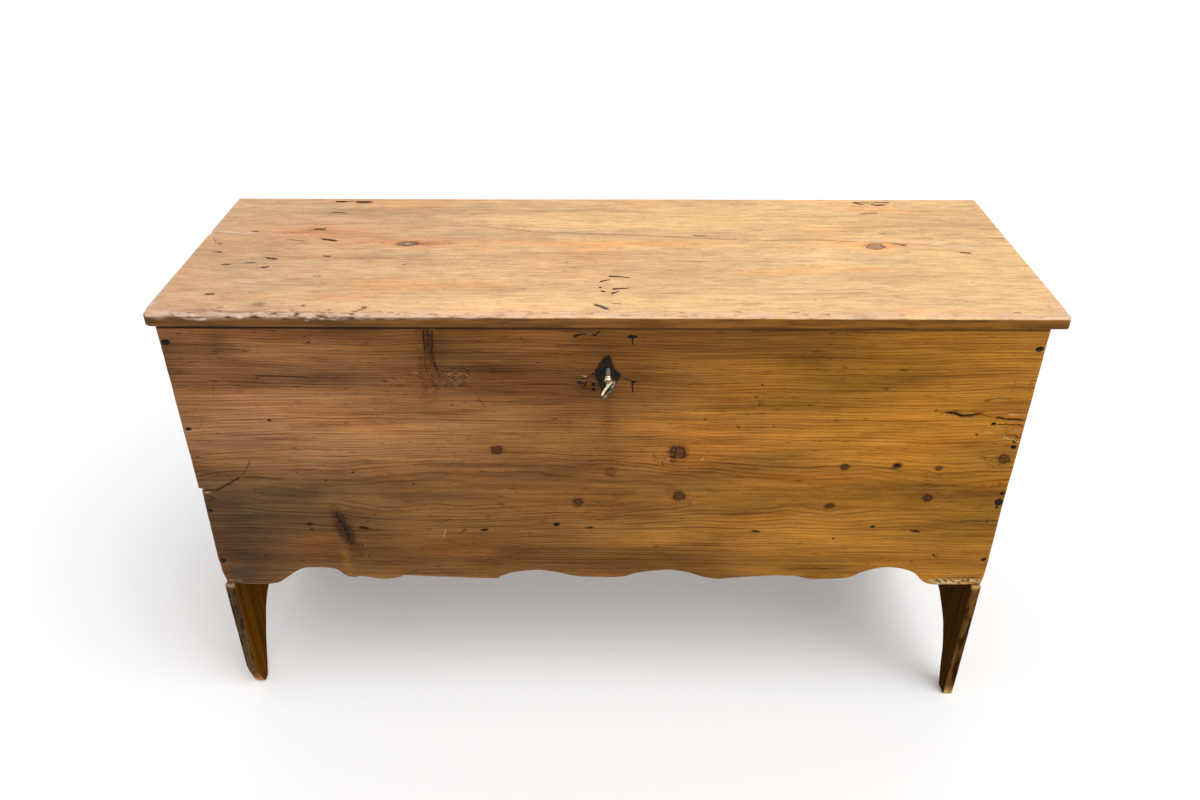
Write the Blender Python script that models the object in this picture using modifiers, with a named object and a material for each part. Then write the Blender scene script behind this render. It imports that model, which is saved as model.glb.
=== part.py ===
"""A six-board pine blanket chest with snipe hinges, a nailed iron lock and its key.

Metres, +Z up, front face towards -Y. The origin is on the floor, under the middle of the whole chest.
"""
import math

import bmesh
import bpy
from mathutils import Matrix, Vector

for item in list(bpy.data.objects):
    bpy.data.objects.remove(item, do_unlink=True)

# Clearances
FIT = 0.0003                    # between two pieces that touch
CUT_THROUGH = 0.004             # how far a cutter stands out of the surface that it opens

# Boards
LID_WIDTH = 1.300
LID_DEPTH = 0.447
LID_THICKNESS = 0.020
LID_ROUND = 0.005
LID_OVERHANG_LEFT = 0.010
LID_OVERHANG_RIGHT = 0.018
LID_OVERHANG_FRONT = 0.014
LID_OVERHANG_BACK = 0.022
BODY_HEIGHT = 0.7555            # floor to the upper edges of the front, back and ends
FRONT_HEIGHT = 0.494
FRONT_THICKNESS = 0.022
BACK_THICKNESS = 0.020
BACK_BELOW_BOTTOM = 0.0385      # how far the back hangs below the bottom board
END_THICKNESS = 0.018
BOTTOM_RISE = 0.1125            # lower corners of the front to the underside of the bottom board
BOTTOM_THICKNESS = 0.022
HOUSING_DEPTH = 0.006           # groove in each end board that takes the bottom board

# Feet cut from the end boards
FOOT_DEPTH = 0.034
ARCH_HEIGHT = 0.165
ARCH_STEPS = 26
TOE_SETBACK = 0.022             # worn front toe of the left foot
TOE_HEIGHT = 0.062

# Shaped lower edge of the front, from its middle out to the block at each corner
APRON_LEVEL = 0.017             # how far the shaped edge stands above the corner blocks
APRON_DROP_HALF = 0.045         # half of the flat drop in the middle
SHALLOW_ARCH_SPAN = 0.145
SHALLOW_ARCH_RISE = 0.016
LOBE_SPAN = 0.083
LOBE_DROP = 0.006
HIGH_ARCH_SPAN = 0.141
HIGH_ARCH_RISE = 0.031
CORNER_BLOCK = 0.080
ARC_STEPS = 12

# Square wrought nails that hold the boards
NAIL_HEAD_WIDE = 0.012
NAIL_HEAD_HIGH = 0.007
NAIL_HEAD_THICK = 0.0025
NAIL_PROUD = 0.0006
NAIL_SHANK = 0.004
NAIL_LENGTH = 0.058
NAIL_POINT = 0.012
EDGE_NAIL_TOP = 0.032           # upper edge of the front to its first nail
EDGE_NAIL_FOOT = 0.054          # lower corners of the front to its last nail
BOTTOM_NAIL_MARGIN = 0.165      # from each end of a board to the first nail of its row
BACK_NAIL_EDGE = 0.040
BACK_NAIL_COUNT = 4
BACK_BOTTOM_NAIL_COUNT = 4

# How far each nail in the front was driven off its even place
LEFT_NAIL_STRAYS = (0.000, -0.014, -0.035, -0.005)
RIGHT_NAIL_STRAYS = (-0.006, -0.041, -0.011, 0.006)
BOTTOM_NAIL_STRAYS = (0.000, -0.048, 0.012, -0.005, -0.086, 0.047, 0.099, 0.034)
BOTTOM_NAIL_LIFTS = (0.004, -0.003, -0.006, 0.006, 0.000, -0.006, 0.005, -0.004)

# Snipe hinges: two linked eyes of iron wire, their legs clinched on the far side of the wood
HINGE_INSET_LEFT = 0.1975       # from the outside of the left end
HINGE_INSET_RIGHT = 0.168
WIRE_RADIUS = 0.00175
EYE_RADIUS = 0.005
EYE_SEAT = 0.0006               # from an eye to the wood that it is drawn up to
LEG_GAP = 0.0004
CLINCH_REACH = 0.030
CLINCH_PROUD = 0.0006
EYE_STEPS = 16

# Lock
KEY_X = 0.0055
KEY_DROP = 0.074                # key axis below the upper edge of the front
LOCK_WALL = 0.002
LOCK_BELOW_KEY = 0.033
LOCK_EAR = 0.012                # flange each side that takes the nails
LOCK_LID_CLEARANCE = 0.002
LOCK_NAIL_HEAD = 0.007
LOCK_NAIL_HEAD_THICK = 0.002
LOCK_NAIL_SHANK = 0.0034
LOCK_NAIL_INSET = 0.010
LOCK_NAIL_TAIL = 0.012

# Bolt, its stud and its spring
BOLT_LENGTH = 0.0375
BOLT_HIGH = 0.012
BOLT_THICK = 0.005
BOLT_BELOW_TOP = 0.020          # lock's upper edge to the middle of the bolt
BOLT_SIDE_CLEARANCE = 0.001
BOLT_END_CLEARANCE = 0.0015
BOLT_WALL_CLEARANCE = 0.0045    # from the thrown bolt's tip to the side of the lock
TONGUE_WIDE = 0.016
TONGUE_CLEARANCE = 0.0038       # from the key's shank to the lower end of the tongue
TALON_CLEARANCE = 0.0019
STUD_RADIUS = 0.002
STUD_SHOULDER = 0.0035
STUD_OFFSET = -0.002
SPRING_THICK = 0.0009
SPRING_WIDE = 0.004
SPRING_FOOT = 0.009
SPRING_REACH = 0.024
SPRING_STEPS = 8

# Hasp on the underside of the lid
HASP_LENGTH = 0.090
HASP_WIDTH = 0.044
HASP_THICK = 0.003
HASP_SETBACK = 0.001            # clear of the front board's inner face
LOOP_OFFSET = -0.01925
LOOP_THICK = 0.0045
LOOP_BAR = 0.003
LOOP_FOOT = 0.004
LOOP_SIDE_CLEARANCE = 0.002     # from the loop to the walls of the lock
HASP_NAIL_ROWS = 3
HASP_NAIL_FIRST = 0.0097        # behind the lock
HASP_NAIL_LAST = 0.010          # from the rear end of the hasp
HASP_NAIL_SPREAD = 0.013
HASP_NAIL_TAIL = 0.014

# Escutcheon, a small iron diamond
PLATE_HALF_WIDTH = 0.020
PLATE_ABOVE_KEY = 0.0255
PLATE_BELOW_KEY = 0.044
PLATE_THICK = 0.0016
PLATE_PIN_INSET = 0.0075
PLATE_PIN_HEAD = 0.0032
PLATE_PIN_HEAD_THICK = 0.0012
PLATE_PIN_SHANK = 0.0016
PLATE_PIN_LENGTH = 0.012
PLATE_PIN_POINT = 0.003

# Key
KEY_LEAN = math.radians(36)     # turn of the bow from upright, with the bolt drawn back
KEY_SHANK_RADIUS = 0.00325
KEY_PIN_RADIUS = 0.002
KEY_CLEARANCE = 0.0004
KEY_COLLAR_OUT = 0.024
KEY_COLLAR_LENGTH = 0.009
KEY_COLLAR_RADIUS = 0.00525
BOW_CENTRE_OUT = 0.057
BOW_HALF_ACROSS = 0.0158
BOW_HALF_ALONG = 0.0103
BOW_WIRE_RADIUS = 0.00185
BOW_STEPS = 28
BIT_REACH = 0.012
BIT_THICK = 0.003
BIT_CONTACT = 0.00826           # height above the key's axis at which the bit drives the bolt
ROUND_STEPS = 16

# Places worked out from the sizes
BODY_LEFT = -LID_WIDTH / 2 + LID_OVERHANG_LEFT
BODY_RIGHT = LID_WIDTH / 2 - LID_OVERHANG_RIGHT
BODY_MIDDLE = (BODY_LEFT + BODY_RIGHT) / 2
BODY_DEPTH = LID_DEPTH - LID_OVERHANG_FRONT - LID_OVERHANG_BACK
KEY_REACH = BOW_CENTRE_OUT + BOW_HALF_ALONG + BOW_WIRE_RADIUS
FRONT_Y = (KEY_REACH - BODY_DEPTH - LID_OVERHANG_BACK) / 2
BACK_Y = FRONT_Y + BODY_DEPTH
FRONT_INNER = FRONT_Y + FRONT_THICKNESS
BACK_INNER = BACK_Y - BACK_THICKNESS
FRONT_FOOT = BODY_HEIGHT - FRONT_HEIGHT
BOTTOM_LEVEL = FRONT_FOOT + BOTTOM_RISE
BOTTOM_MIDDLE = BOTTOM_LEVEL + BOTTOM_THICKNESS / 2
BACK_FOOT = BOTTOM_LEVEL - BACK_BELOW_BOTTOM
LID_UNDER = BODY_HEIGHT + FIT
LID_TOP = LID_UNDER + LID_THICKNESS
HINGE_Y = BACK_Y + EYE_RADIUS + WIRE_RADIUS + EYE_SEAT
HINGE_Z = LID_UNDER - 2 * EYE_RADIUS - WIRE_RADIUS - EYE_SEAT
KEY_Z = BODY_HEIGHT - KEY_DROP
HASP_TOP = LID_UNDER - FIT
HASP_LOW = HASP_TOP - HASP_THICK
LOOP_DEPTH = BOLT_THICK + 2 * BOLT_SIDE_CLEARANCE + 2 * LOOP_BAR
LOCK_TOP = HASP_LOW - LOCK_LID_CLEARANCE
LOCK_LOW = KEY_Z - LOCK_BELOW_KEY
LOCK_FACE = FRONT_INNER + FIT
LOCK_BACK = LOCK_FACE + LOOP_DEPTH + 2 * LOOP_SIDE_CLEARANCE + LOCK_WALL
BOLT_Y = (LOCK_FACE + LOCK_BACK - LOCK_WALL) / 2
BOLT_Z = LOCK_TOP - BOLT_BELOW_TOP
BOLT_TIP = KEY_X + LOOP_OFFSET + LOOP_THICK / 2 + BOLT_END_CLEARANCE
BOLT_THROW = 2 * BIT_CONTACT * math.tan(KEY_LEAN)
TALON_X = KEY_X + BOLT_THROW / 2
LOCK_HALF_WIDTH = KEY_X - BOLT_TIP + BOLT_THROW + BOLT_WALL_CLEARANCE + LOCK_WALL

# Colours, as red, green, blue, then roughness and metallic
PINE = ((0.50, 0.27, 0.09), 0.55, 0.0)
PALE_PINE = ((0.60, 0.38, 0.17), 0.6, 0.0)
DARK_PINE = ((0.26, 0.13, 0.05), 0.65, 0.0)
IRON = ((0.045, 0.04, 0.037), 0.6, 0.9)
PLATED = ((0.62, 0.57, 0.44), 0.25, 1.0)

chest = bpy.data.collections.new("blanket_chest")
cutters = bpy.data.collections.new("cutters")
for group in (chest, cutters):
    bpy.context.scene.collection.children.link(group)

# Turns that lay an outline drawn in X and Y into the chest
FACING_FRONT = Matrix.Rotation(math.radians(90), 4, "X")
FACING_SIDE = Matrix(((0, 0, 1, 0), (1, 0, 0, 0), (0, 1, 0, 0), (0, 0, 0, 1)))
FACING_BACK = Matrix.Rotation(math.radians(180), 4, "Z") @ FACING_FRONT
FACING_DOWN = Matrix.Rotation(math.radians(180), 4, "X")
RIGHTWARD = Vector((1, 0, 0))
REARWARD = Vector((0, 1, 0))
UPWARD = Vector((0, 0, 1))


def place(x, y, z):
    return Matrix.Translation((x, y, z))


def add(name, mesh, matrix, look=None, parent=None):
    """Links a mesh as a named piece of the chest, or as a hidden cutter where it has no look."""
    piece = bpy.data.objects.new(name, mesh)
    piece.matrix_world = matrix
    if look is None:
        cutters.objects.link(piece)
        piece.hide_render = True
        piece.display_type = "WIRE"
        return piece
    chest.objects.link(piece)
    paint(piece, look)
    if parent is not None:
        piece.parent = parent
        piece.matrix_parent_inverse = Matrix.Translation(parent.location).inverted()
    return piece


def paint(piece, look):
    colour, roughness, metallic = look
    material = bpy.data.materials.new(piece.name)
    material.use_nodes = True
    shader = material.node_tree.nodes["Principled BSDF"]
    shader.inputs["Base Color"].default_value = (*colour, 1.0)
    shader.inputs["Roughness"].default_value = roughness
    shader.inputs["Metallic"].default_value = metallic
    piece.data.materials.append(material)


def axis_empty(name, location):
    empty = bpy.data.objects.new(name, None)
    empty.location = location
    chest.objects.link(empty)
    return empty


def as_mesh(name, fill):
    """Makes a mesh with a bmesh that the function fill builds."""
    shape = bmesh.new()
    fill(shape)
    mesh = bpy.data.meshes.new(name)
    shape.to_mesh(mesh)
    shape.free()
    return mesh


def box(name, low, high, look=None, parent=None):
    size = [b - a for a, b in zip(low, high)]
    middle = [(a + b) / 2 for a, b in zip(low, high)]
    scale = Matrix.Diagonal((*size, 1.0))
    mesh = as_mesh(name, lambda shape: bmesh.ops.create_cube(shape, size=1.0, matrix=scale))
    return add(name, mesh, place(*middle), look, parent)


def round_cutter(name, radius, depth, matrix):
    """A hidden rod whose flats, and not its corners, lie at the radius."""
    outer = radius / math.cos(math.pi / ROUND_STEPS)
    mesh = as_mesh(name, lambda shape: bmesh.ops.create_cone(
        shape, cap_ends=True, segments=ROUND_STEPS, radius1=outer, radius2=outer, depth=depth))
    return add(name, mesh, matrix)


def curve_mesh(name, curve):
    """Turns a curve's evaluated shape into a mesh with its caps welded on."""
    holder = bpy.data.objects.new(name, curve)
    bpy.context.scene.collection.objects.link(holder)
    graph = bpy.context.evaluated_depsgraph_get()
    mesh = bpy.data.meshes.new_from_object(holder.evaluated_get(graph))
    mesh.name = name
    shape = bmesh.new()
    shape.from_mesh(mesh)
    bmesh.ops.remove_doubles(shape, verts=shape.verts, dist=0.00001)
    shape.to_mesh(mesh)
    shape.free()
    bpy.data.objects.remove(holder)
    return mesh


def plate(name, loops, thickness, matrix, look=None, parent=None):
    """A flat piece of even thickness. The first loop is its outline, and the others are holes."""
    curve = bpy.data.curves.new(name, "CURVE")
    curve.dimensions = "2D"
    curve.fill_mode = "BOTH"
    curve.extrude = thickness / 2
    for loop in loops:
        spline = curve.splines.new("POLY")
        spline.points.add(len(loop) - 1)
        spline.use_cyclic_u = True
        for point, (x, y) in zip(spline.points, loop):
            point.co = (x, y, 0.0, 1.0)
    return add(name, curve_mesh(name, curve), matrix, look, parent)


def wire(name, points, radius, look, parent=None):
    """A round wire through the points, each end closed by a flat cap."""
    curve = bpy.data.curves.new(name, "CURVE")
    curve.dimensions = "3D"
    curve.bevel_depth = radius
    curve.bevel_resolution = 2
    curve.use_fill_caps = True
    spline = curve.splines.new("POLY")
    spline.points.add(len(points) - 1)
    for point, position in zip(spline.points, points):
        point.co = (*position, 1.0)
    mesh = curve_mesh(name, curve)
    mesh.shade_smooth()
    return add(name, mesh, Matrix(), look, parent)


def turned(name, profile, matrix, look=None, parent=None):
    """A solid of revolution about its own Z, from (radius, height) points that run from top to bottom."""
    def fill(shape):
        corners = [shape.verts.new((radius, 0.0, height)) for radius, height in profile]
        for upper, lower in zip(corners, corners[1:]):
            shape.edges.new((upper, lower))
    piece = add(name, as_mesh(name, fill), matrix, look, parent)
    spin = piece.modifiers.new("turn", "SCREW")
    spin.steps = ROUND_STEPS
    spin.render_steps = ROUND_STEPS
    spin.use_merge_vertices = True
    spin.merge_threshold = 0.00005
    return piece


def boolean(piece, other, operation):
    modifier = piece.modifiers.new(operation.lower(), "BOOLEAN")
    modifier.operation = operation
    modifier.object = other


def arc(start, end, rise, steps=ARC_STEPS):
    """Points of a circular arc after start and up to end, its middle standing rise above the chord."""
    start, end = Vector(start), Vector(end)
    chord = end - start
    radius = (chord.length ** 2 / 4 + rise ** 2) / (2 * abs(rise))
    across = Vector((-chord.y, chord.x)).normalized() * math.copysign(1.0, rise * chord.x)
    centre = (start + end) / 2 + across * (abs(rise) - radius)
    half = math.atan2(chord.length / 2, radius - abs(rise))
    along = chord.normalized()
    turns = [half * (2 * step / steps - 1) for step in range(1, steps + 1)]
    return [tuple(centre + radius * (across * math.cos(turn) + along * math.sin(turn))) for turn in turns]


def keyhole(radius, slot_wide, slot_reach):
    """A round hole with a slot below it, about the key's axis."""
    half = math.asin(slot_wide / 2 / radius)
    sweep = 2 * math.pi - 2 * half
    points = []
    for step in range(ROUND_STEPS + 1):
        turn = -math.pi / 2 + half + sweep * step / ROUND_STEPS
        points.append((radius * math.cos(turn), radius * math.sin(turn)))
    return points + [(-slot_wide / 2, -slot_reach), (slot_wide / 2, -slot_reach)]


# Nails. Each is driven along its own -Z from the surface at Z = 0, and eases a hole in every board it meets.
holes = {}


def step_out(shape, face, wide, height):
    """Extrudes a nail's end face to a square of the given width at the given height."""
    end = bmesh.ops.extrude_discrete_faces(shape, faces=[face])["faces"][0]
    for vert in end.verts:
        vert.co.x = math.copysign(wide / 2, vert.co.x)
        vert.co.y = math.copysign(wide / 2, vert.co.y)
        vert.co.z = height
    return end


def nail_shape(shape, head, shank, length, sink, point, tail, ease):
    wide, high, thick = head
    top = thick - sink + (CUT_THROUGH if ease else 0.0)
    seat = -sink - ease
    block = place(0, 0, (top + seat) / 2) @ Matrix.Diagonal((wide + 2 * ease, high + 2 * ease, top - seat, 1))
    bmesh.ops.create_cube(shape, size=1.0, matrix=block)
    end = min(shape.faces, key=lambda face: face.calc_center_median().z)
    girth = shank + 2 * ease
    end = step_out(shape, end, girth, seat)
    if tail is None:
        end = step_out(shape, end, girth, point - length)
        step_out(shape, end, girth if ease else shank / 4, -length - ease)
        return
    reach = Vector(tail)
    end = step_out(shape, end, girth, shank - CLINCH_PROUD - length + ease)
    end = step_out(shape, end, girth, -CLINCH_PROUD - length - (CUT_THROUGH if ease else 0.0))
    shape.normal_update()
    sides = {face for edge in end.edges for face in edge.link_faces if face is not end}
    side = max(sides, key=lambda face: face.normal.dot(reach))
    turned_over = bmesh.ops.extrude_discrete_faces(shape, faces=[side])["faces"][0]
    bmesh.ops.translate(shape, verts=turned_over.verts, vec=reach + reach.normalized() * (ease - girth / 2))


def drive(name, place_at, boards, head, shank, length, sink=0.0, point=NAIL_POINT, tail=None, parent=None):
    """Makes one nail, and keeps the hole that it needs for each board in the list."""
    def fill(shape, ease=0.0):
        nail_shape(shape, head, shank, length, sink, point, tail, ease)
    add(name, as_mesh(name, fill), place_at, IRON, parent)
    hole = as_mesh(name + "_hole", lambda shape: fill(shape, FIT))
    hole.transform(place_at)
    for board in boards:
        holes.setdefault(board.name, bmesh.new()).from_mesh(hole)


def board_nail(name, place_at, boards):
    head = (NAIL_HEAD_WIDE, NAIL_HEAD_HIGH, NAIL_HEAD_THICK)
    drive(name, place_at, boards, head, NAIL_SHANK, NAIL_LENGTH, NAIL_HEAD_THICK - NAIL_PROUD)


def spaced(first, last, count):
    return [first + (last - first) * step / (count - 1) for step in range(count)]


# Front board, with its shaped lower edge
def half_apron(half_width):
    """Lower edge from the middle of the front out to its corner block."""
    block = (half_width - CORNER_BLOCK, 0.0)
    lobe = (block[0] - HIGH_ARCH_SPAN, APRON_LEVEL)
    flat = (lobe[0] - LOBE_SPAN, APRON_LEVEL)
    shallow = (APRON_DROP_HALF + SHALLOW_ARCH_SPAN, APRON_LEVEL)
    points = [(APRON_DROP_HALF, APRON_LEVEL)]
    points += arc(points[-1], shallow, SHALLOW_ARCH_RISE)
    points.append(flat)
    points += arc(flat, lobe, -LOBE_DROP)
    points += arc(lobe, block, HIGH_ARCH_RISE)
    return points


front_half = (BODY_RIGHT - BODY_LEFT) / 2
edge = half_apron(front_half) + [(front_half, 0.0), (front_half, FRONT_HEIGHT)]
front_outline = edge + [(-x, z) for x, z in reversed(edge)]
front_board = plate("front_board", [front_outline], FRONT_THICKNESS,
                    place(BODY_MIDDLE, FRONT_Y + FRONT_THICKNESS / 2, FRONT_FOOT) @ FACING_FRONT, PINE)
keyhole_loop = keyhole(KEY_SHANK_RADIUS + KEY_CLEARANCE, BIT_THICK + 2 * KEY_CLEARANCE,
                       BIT_REACH + KEY_CLEARANCE)
key_slot = plate("key_slot", [keyhole_loop], FRONT_THICKNESS + 2 * CUT_THROUGH,
                 place(KEY_X, FRONT_Y + FRONT_THICKNESS / 2, KEY_Z) @ FACING_FRONT)
boolean(front_board, key_slot, "DIFFERENCE")

# Back board
back_board = box("back_board", (BODY_LEFT, BACK_INNER, BACK_FOOT), (BODY_RIGHT, BACK_Y, BODY_HEIGHT),
                 DARK_PINE)


# End boards: each is notched for the front and back, grooved for the bottom, and cut to two feet
def end_outline(toe_setback, toe_height):
    """Outline in depth and height, from the front toe round the arch and back over the top."""
    front_notch = FRONT_INNER + FIT
    back_notch = BACK_INNER - FIT
    arch_start = (FRONT_Y + FOOT_DEPTH, 0.0)
    points = [(FRONT_Y + toe_setback, 0.0), arch_start]
    points += arc(arch_start, (BACK_Y - FOOT_DEPTH, 0.0), ARCH_HEIGHT, ARCH_STEPS)
    points += [(BACK_Y, 0.0), (BACK_Y, BACK_FOOT - FIT), (back_notch, BACK_FOOT - FIT)]
    points += [(back_notch, BODY_HEIGHT), (front_notch, BODY_HEIGHT)]
    points += [(front_notch, FRONT_FOOT - FIT), (FRONT_Y, FRONT_FOOT - FIT)]
    if toe_setback:
        points.append((FRONT_Y, toe_height))
    return points


def end_board(name, outer, inward, toe_setback):
    middle = outer + inward * END_THICKNESS / 2
    outline = end_outline(toe_setback, TOE_HEIGHT)
    board = plate(name, [outline], END_THICKNESS, place(middle, 0, 0) @ FACING_SIDE, PINE)
    face = outer + inward * END_THICKNESS
    sides = sorted((face - inward * HOUSING_DEPTH, face + inward * CUT_THROUGH))
    groove = box(name + "_housing", (sides[0], FRONT_Y, BOTTOM_LEVEL - FIT),
                 (sides[1], BACK_Y, BOTTOM_LEVEL + BOTTOM_THICKNESS + FIT))
    boolean(board, groove, "DIFFERENCE")
    return board


left_end = end_board("left_end_board", BODY_LEFT, 1, TOE_SETBACK)
right_end = end_board("right_end_board", BODY_RIGHT, -1, 0.0)

# Bottom board, its ends let into the housings
housed = END_THICKNESS - HOUSING_DEPTH + FIT
bottom_board = box("bottom_board", (BODY_LEFT + housed, FRONT_INNER + FIT, BOTTOM_LEVEL),
                   (BODY_RIGHT - housed, BACK_INNER - FIT, BOTTOM_LEVEL + BOTTOM_THICKNESS), DARK_PINE)

# Lid, one wide board with worn, rounded edges
lid_axis = axis_empty("lid_axis", (0.0, HINGE_Y, HINGE_Z))
lid = box("lid", (-LID_WIDTH / 2, FRONT_Y - LID_OVERHANG_FRONT, LID_UNDER),
          (LID_WIDTH / 2, BACK_Y + LID_OVERHANG_BACK, LID_TOP), PALE_PINE, lid_axis)
rounding = lid.modifiers.new("worn_edges", "BEVEL")
rounding.width = LID_ROUND
rounding.segments = 3
rounding.limit_method = "ANGLE"

# Nails through the front into the ends and the bottom
for side, x, end, strays in (("left", BODY_LEFT + END_THICKNESS / 2, left_end, LEFT_NAIL_STRAYS),
                             ("right", BODY_RIGHT - END_THICKNESS / 2, right_end, RIGHT_NAIL_STRAYS)):
    heights = spaced(BODY_HEIGHT - EDGE_NAIL_TOP, FRONT_FOOT + EDGE_NAIL_FOOT, len(strays))
    for number, (height, stray) in enumerate(zip(heights, strays), 1):
        board_nail(f"front_{side}_nail_{number}", place(x, FRONT_Y, height + stray) @ FACING_FRONT,
                   [front_board, end])
row = spaced(BODY_LEFT + BOTTOM_NAIL_MARGIN, BODY_RIGHT - BOTTOM_NAIL_MARGIN, len(BOTTOM_NAIL_STRAYS))
for number, (x, stray, lift) in enumerate(zip(row, BOTTOM_NAIL_STRAYS, BOTTOM_NAIL_LIFTS), 1):
    board_nail(f"front_bottom_nail_{number}", place(x + stray, FRONT_Y, BOTTOM_MIDDLE + lift) @ FACING_FRONT,
               [front_board, bottom_board])

# Nails through the back into the ends and the bottom
back_heights = spaced(BODY_HEIGHT - BACK_NAIL_EDGE, BACK_FOOT + BACK_NAIL_EDGE, BACK_NAIL_COUNT)
for side, x, end in (("left", BODY_LEFT + END_THICKNESS / 2, left_end),
                     ("right", BODY_RIGHT - END_THICKNESS / 2, right_end)):
    for number, height in enumerate(back_heights, 1):
        board_nail(f"back_{side}_nail_{number}", place(x, BACK_Y, height) @ FACING_BACK, [back_board, end])
back_row = spaced(BODY_LEFT + BOTTOM_NAIL_MARGIN, BODY_RIGHT - BOTTOM_NAIL_MARGIN, BACK_BOTTOM_NAIL_COUNT)
for number, x in enumerate(back_row, 1):
    board_nail(f"back_bottom_nail_{number}", place(x, BACK_Y, BOTTOM_MIDDLE) @ FACING_BACK,
               [back_board, bottom_board])


# Snipe hinges
def cotter(name, centre, leg, spread, surface, clinches, board, parent=None):
    """One iron eye. Its two legs run along leg through the board to surface, where each is turned over."""
    half_gap = WIRE_RADIUS + LEG_GAP / 2
    opening = math.asin(half_gap / EYE_RADIUS)
    ring = []
    for step in range(EYE_STEPS + 1):
        turn = opening + (2 * math.pi - 2 * opening) * step / EYE_STEPS
        ring.append(centre + EYE_RADIUS * (spread * math.sin(turn) + leg * math.cos(turn)))
    depth = surface - WIRE_RADIUS + CLINCH_PROUD
    elbows = [centre + spread * half_gap * sign + leg * depth for sign in (1, -1)]
    tips = [elbow + clinch * CLINCH_REACH for elbow, clinch in zip(elbows, clinches)]
    wire(name, [tips[0], elbows[0]] + ring + [elbows[1], tips[1]], WIRE_RADIUS, IRON, parent)
    middle = centre + leg * surface / 2
    turn = UPWARD.rotation_difference(leg).to_matrix().to_4x4()
    bore = round_cutter(name + "_bore", half_gap + WIRE_RADIUS + FIT, surface + 2 * CUT_THROUGH,
                        place(*middle) @ turn)
    boolean(board, bore, "DIFFERENCE")
    for number, (elbow, tip) in enumerate(zip(elbows, tips), 1):
        girth = Vector((WIRE_RADIUS + FIT,) * 3)
        low = [min(a, b) - c for a, b, c in zip(elbow, tip, girth)]
        high = [max(a, b) + c for a, b, c in zip(elbow, tip, girth)]
        for axis in range(3):
            if leg[axis] > 0.5:
                high[axis] += CUT_THROUGH
            if leg[axis] < -0.5:
                low[axis] -= CUT_THROUGH
        boolean(board, box(f"{name}_groove_{number}", low, high), "DIFFERENCE")


for side, x in (("left", BODY_LEFT + HINGE_INSET_LEFT), ("right", BODY_RIGHT - HINGE_INSET_RIGHT)):
    knuckle = Vector((x, HINGE_Y, HINGE_Z))
    cotter(f"{side}_lid_cotter", knuckle + UPWARD * EYE_RADIUS, UPWARD, RIGHTWARD,
           LID_TOP - HINGE_Z - EYE_RADIUS, (RIGHTWARD, -RIGHTWARD), lid, lid_axis)
    cotter(f"{side}_back_cotter", knuckle, -REARWARD, UPWARD,
           HINGE_Y - BACK_INNER, (RIGHTWARD, -RIGHTWARD), back_board)

# Lock case, an iron box open towards the front board, with a flange each side for its nails
lock_case = box("lock_case", (KEY_X - LOCK_HALF_WIDTH, LOCK_FACE, LOCK_LOW),
                (KEY_X + LOCK_HALF_WIDTH, LOCK_BACK, LOCK_TOP), IRON)
flange_half = LOCK_HALF_WIDTH + LOCK_EAR
lock_flange = box("lock_flange", (KEY_X - flange_half, LOCK_FACE, LOCK_LOW),
                  (KEY_X + flange_half, LOCK_FACE + LOCK_WALL, LOCK_TOP))
inner_half = LOCK_HALF_WIDTH - LOCK_WALL
lock_hollow = box("lock_hollow", (KEY_X - inner_half, LOCK_FACE - CUT_THROUGH, LOCK_LOW + LOCK_WALL),
                  (KEY_X + inner_half, LOCK_BACK - LOCK_WALL, LOCK_TOP - LOCK_WALL))
loop_x = KEY_X + LOOP_OFFSET
notch_half = LOOP_THICK / 2 + BOLT_END_CLEARANCE
lock_notch = box("lock_notch", (loop_x - notch_half, LOCK_FACE - CUT_THROUGH, LOCK_TOP - 2 * LOCK_WALL),
                 (loop_x + notch_half, LOCK_BACK - LOCK_WALL, LOCK_TOP + CUT_THROUGH))
key_bearing = round_cutter("key_bearing", KEY_PIN_RADIUS + FIT, LOCK_WALL + 2 * CUT_THROUGH,
                           place(KEY_X, LOCK_BACK - LOCK_WALL / 2, KEY_Z) @ FACING_FRONT)
stud_root = -(LOCK_BACK - LOCK_WALL / 2)
shoulder = -(BOLT_Y + BOLT_THICK / 2 + FIT)
stud_end = -(BOLT_Y - BOLT_THICK / 2 - BOLT_SIDE_CLEARANCE)
bolt_stud = turned("bolt_stud", [(0, stud_end), (STUD_RADIUS, stud_end), (STUD_RADIUS, shoulder),
                                 (STUD_SHOULDER, shoulder), (STUD_SHOULDER, stud_root), (0, stud_root)],
                   place(KEY_X + STUD_OFFSET, 0, BOLT_Z) @ FACING_FRONT)
boolean(lock_case, lock_flange, "UNION")
for hollow in (lock_hollow, lock_notch, key_bearing):
    boolean(lock_case, hollow, "DIFFERENCE")
boolean(lock_case, bolt_stud, "UNION")

# Lock bolt, drawn back at rest. Its tongue reaches down to the key, whose bit works in the talon.
bolt_axis = axis_empty("bolt_axis", (BOLT_TIP, BOLT_Y, BOLT_Z))
tongue_low = KEY_SHANK_RADIUS + TONGUE_CLEARANCE
talon_half = BIT_THICK / 2 + TALON_CLEARANCE
talon_top = BIT_REACH + BOLT_END_CLEARANCE
bar_middle = BOLT_Z - KEY_Z
bar_low = bar_middle - BOLT_HIGH / 2
bar_high = bar_middle + BOLT_HIGH / 2
tip = BOLT_TIP - KEY_X
tail_end = tip + BOLT_LENGTH
talon = TALON_X - KEY_X
tongue_left = talon - TONGUE_WIDE / 2
tongue_right = talon + TONGUE_WIDE / 2
bolt_outline = [(tip, bar_low), (tongue_left, bar_low), (tongue_left, tongue_low),
                (talon - talon_half, tongue_low), (talon - talon_half, talon_top),
                (talon + talon_half, talon_top), (talon + talon_half, tongue_low),
                (tongue_right, tongue_low), (tongue_right, bar_low), (tail_end, bar_low),
                (tail_end, bar_high), (tip, bar_high)]
slot_half = STUD_RADIUS + FIT
slot_left = STUD_OFFSET - slot_half
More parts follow.
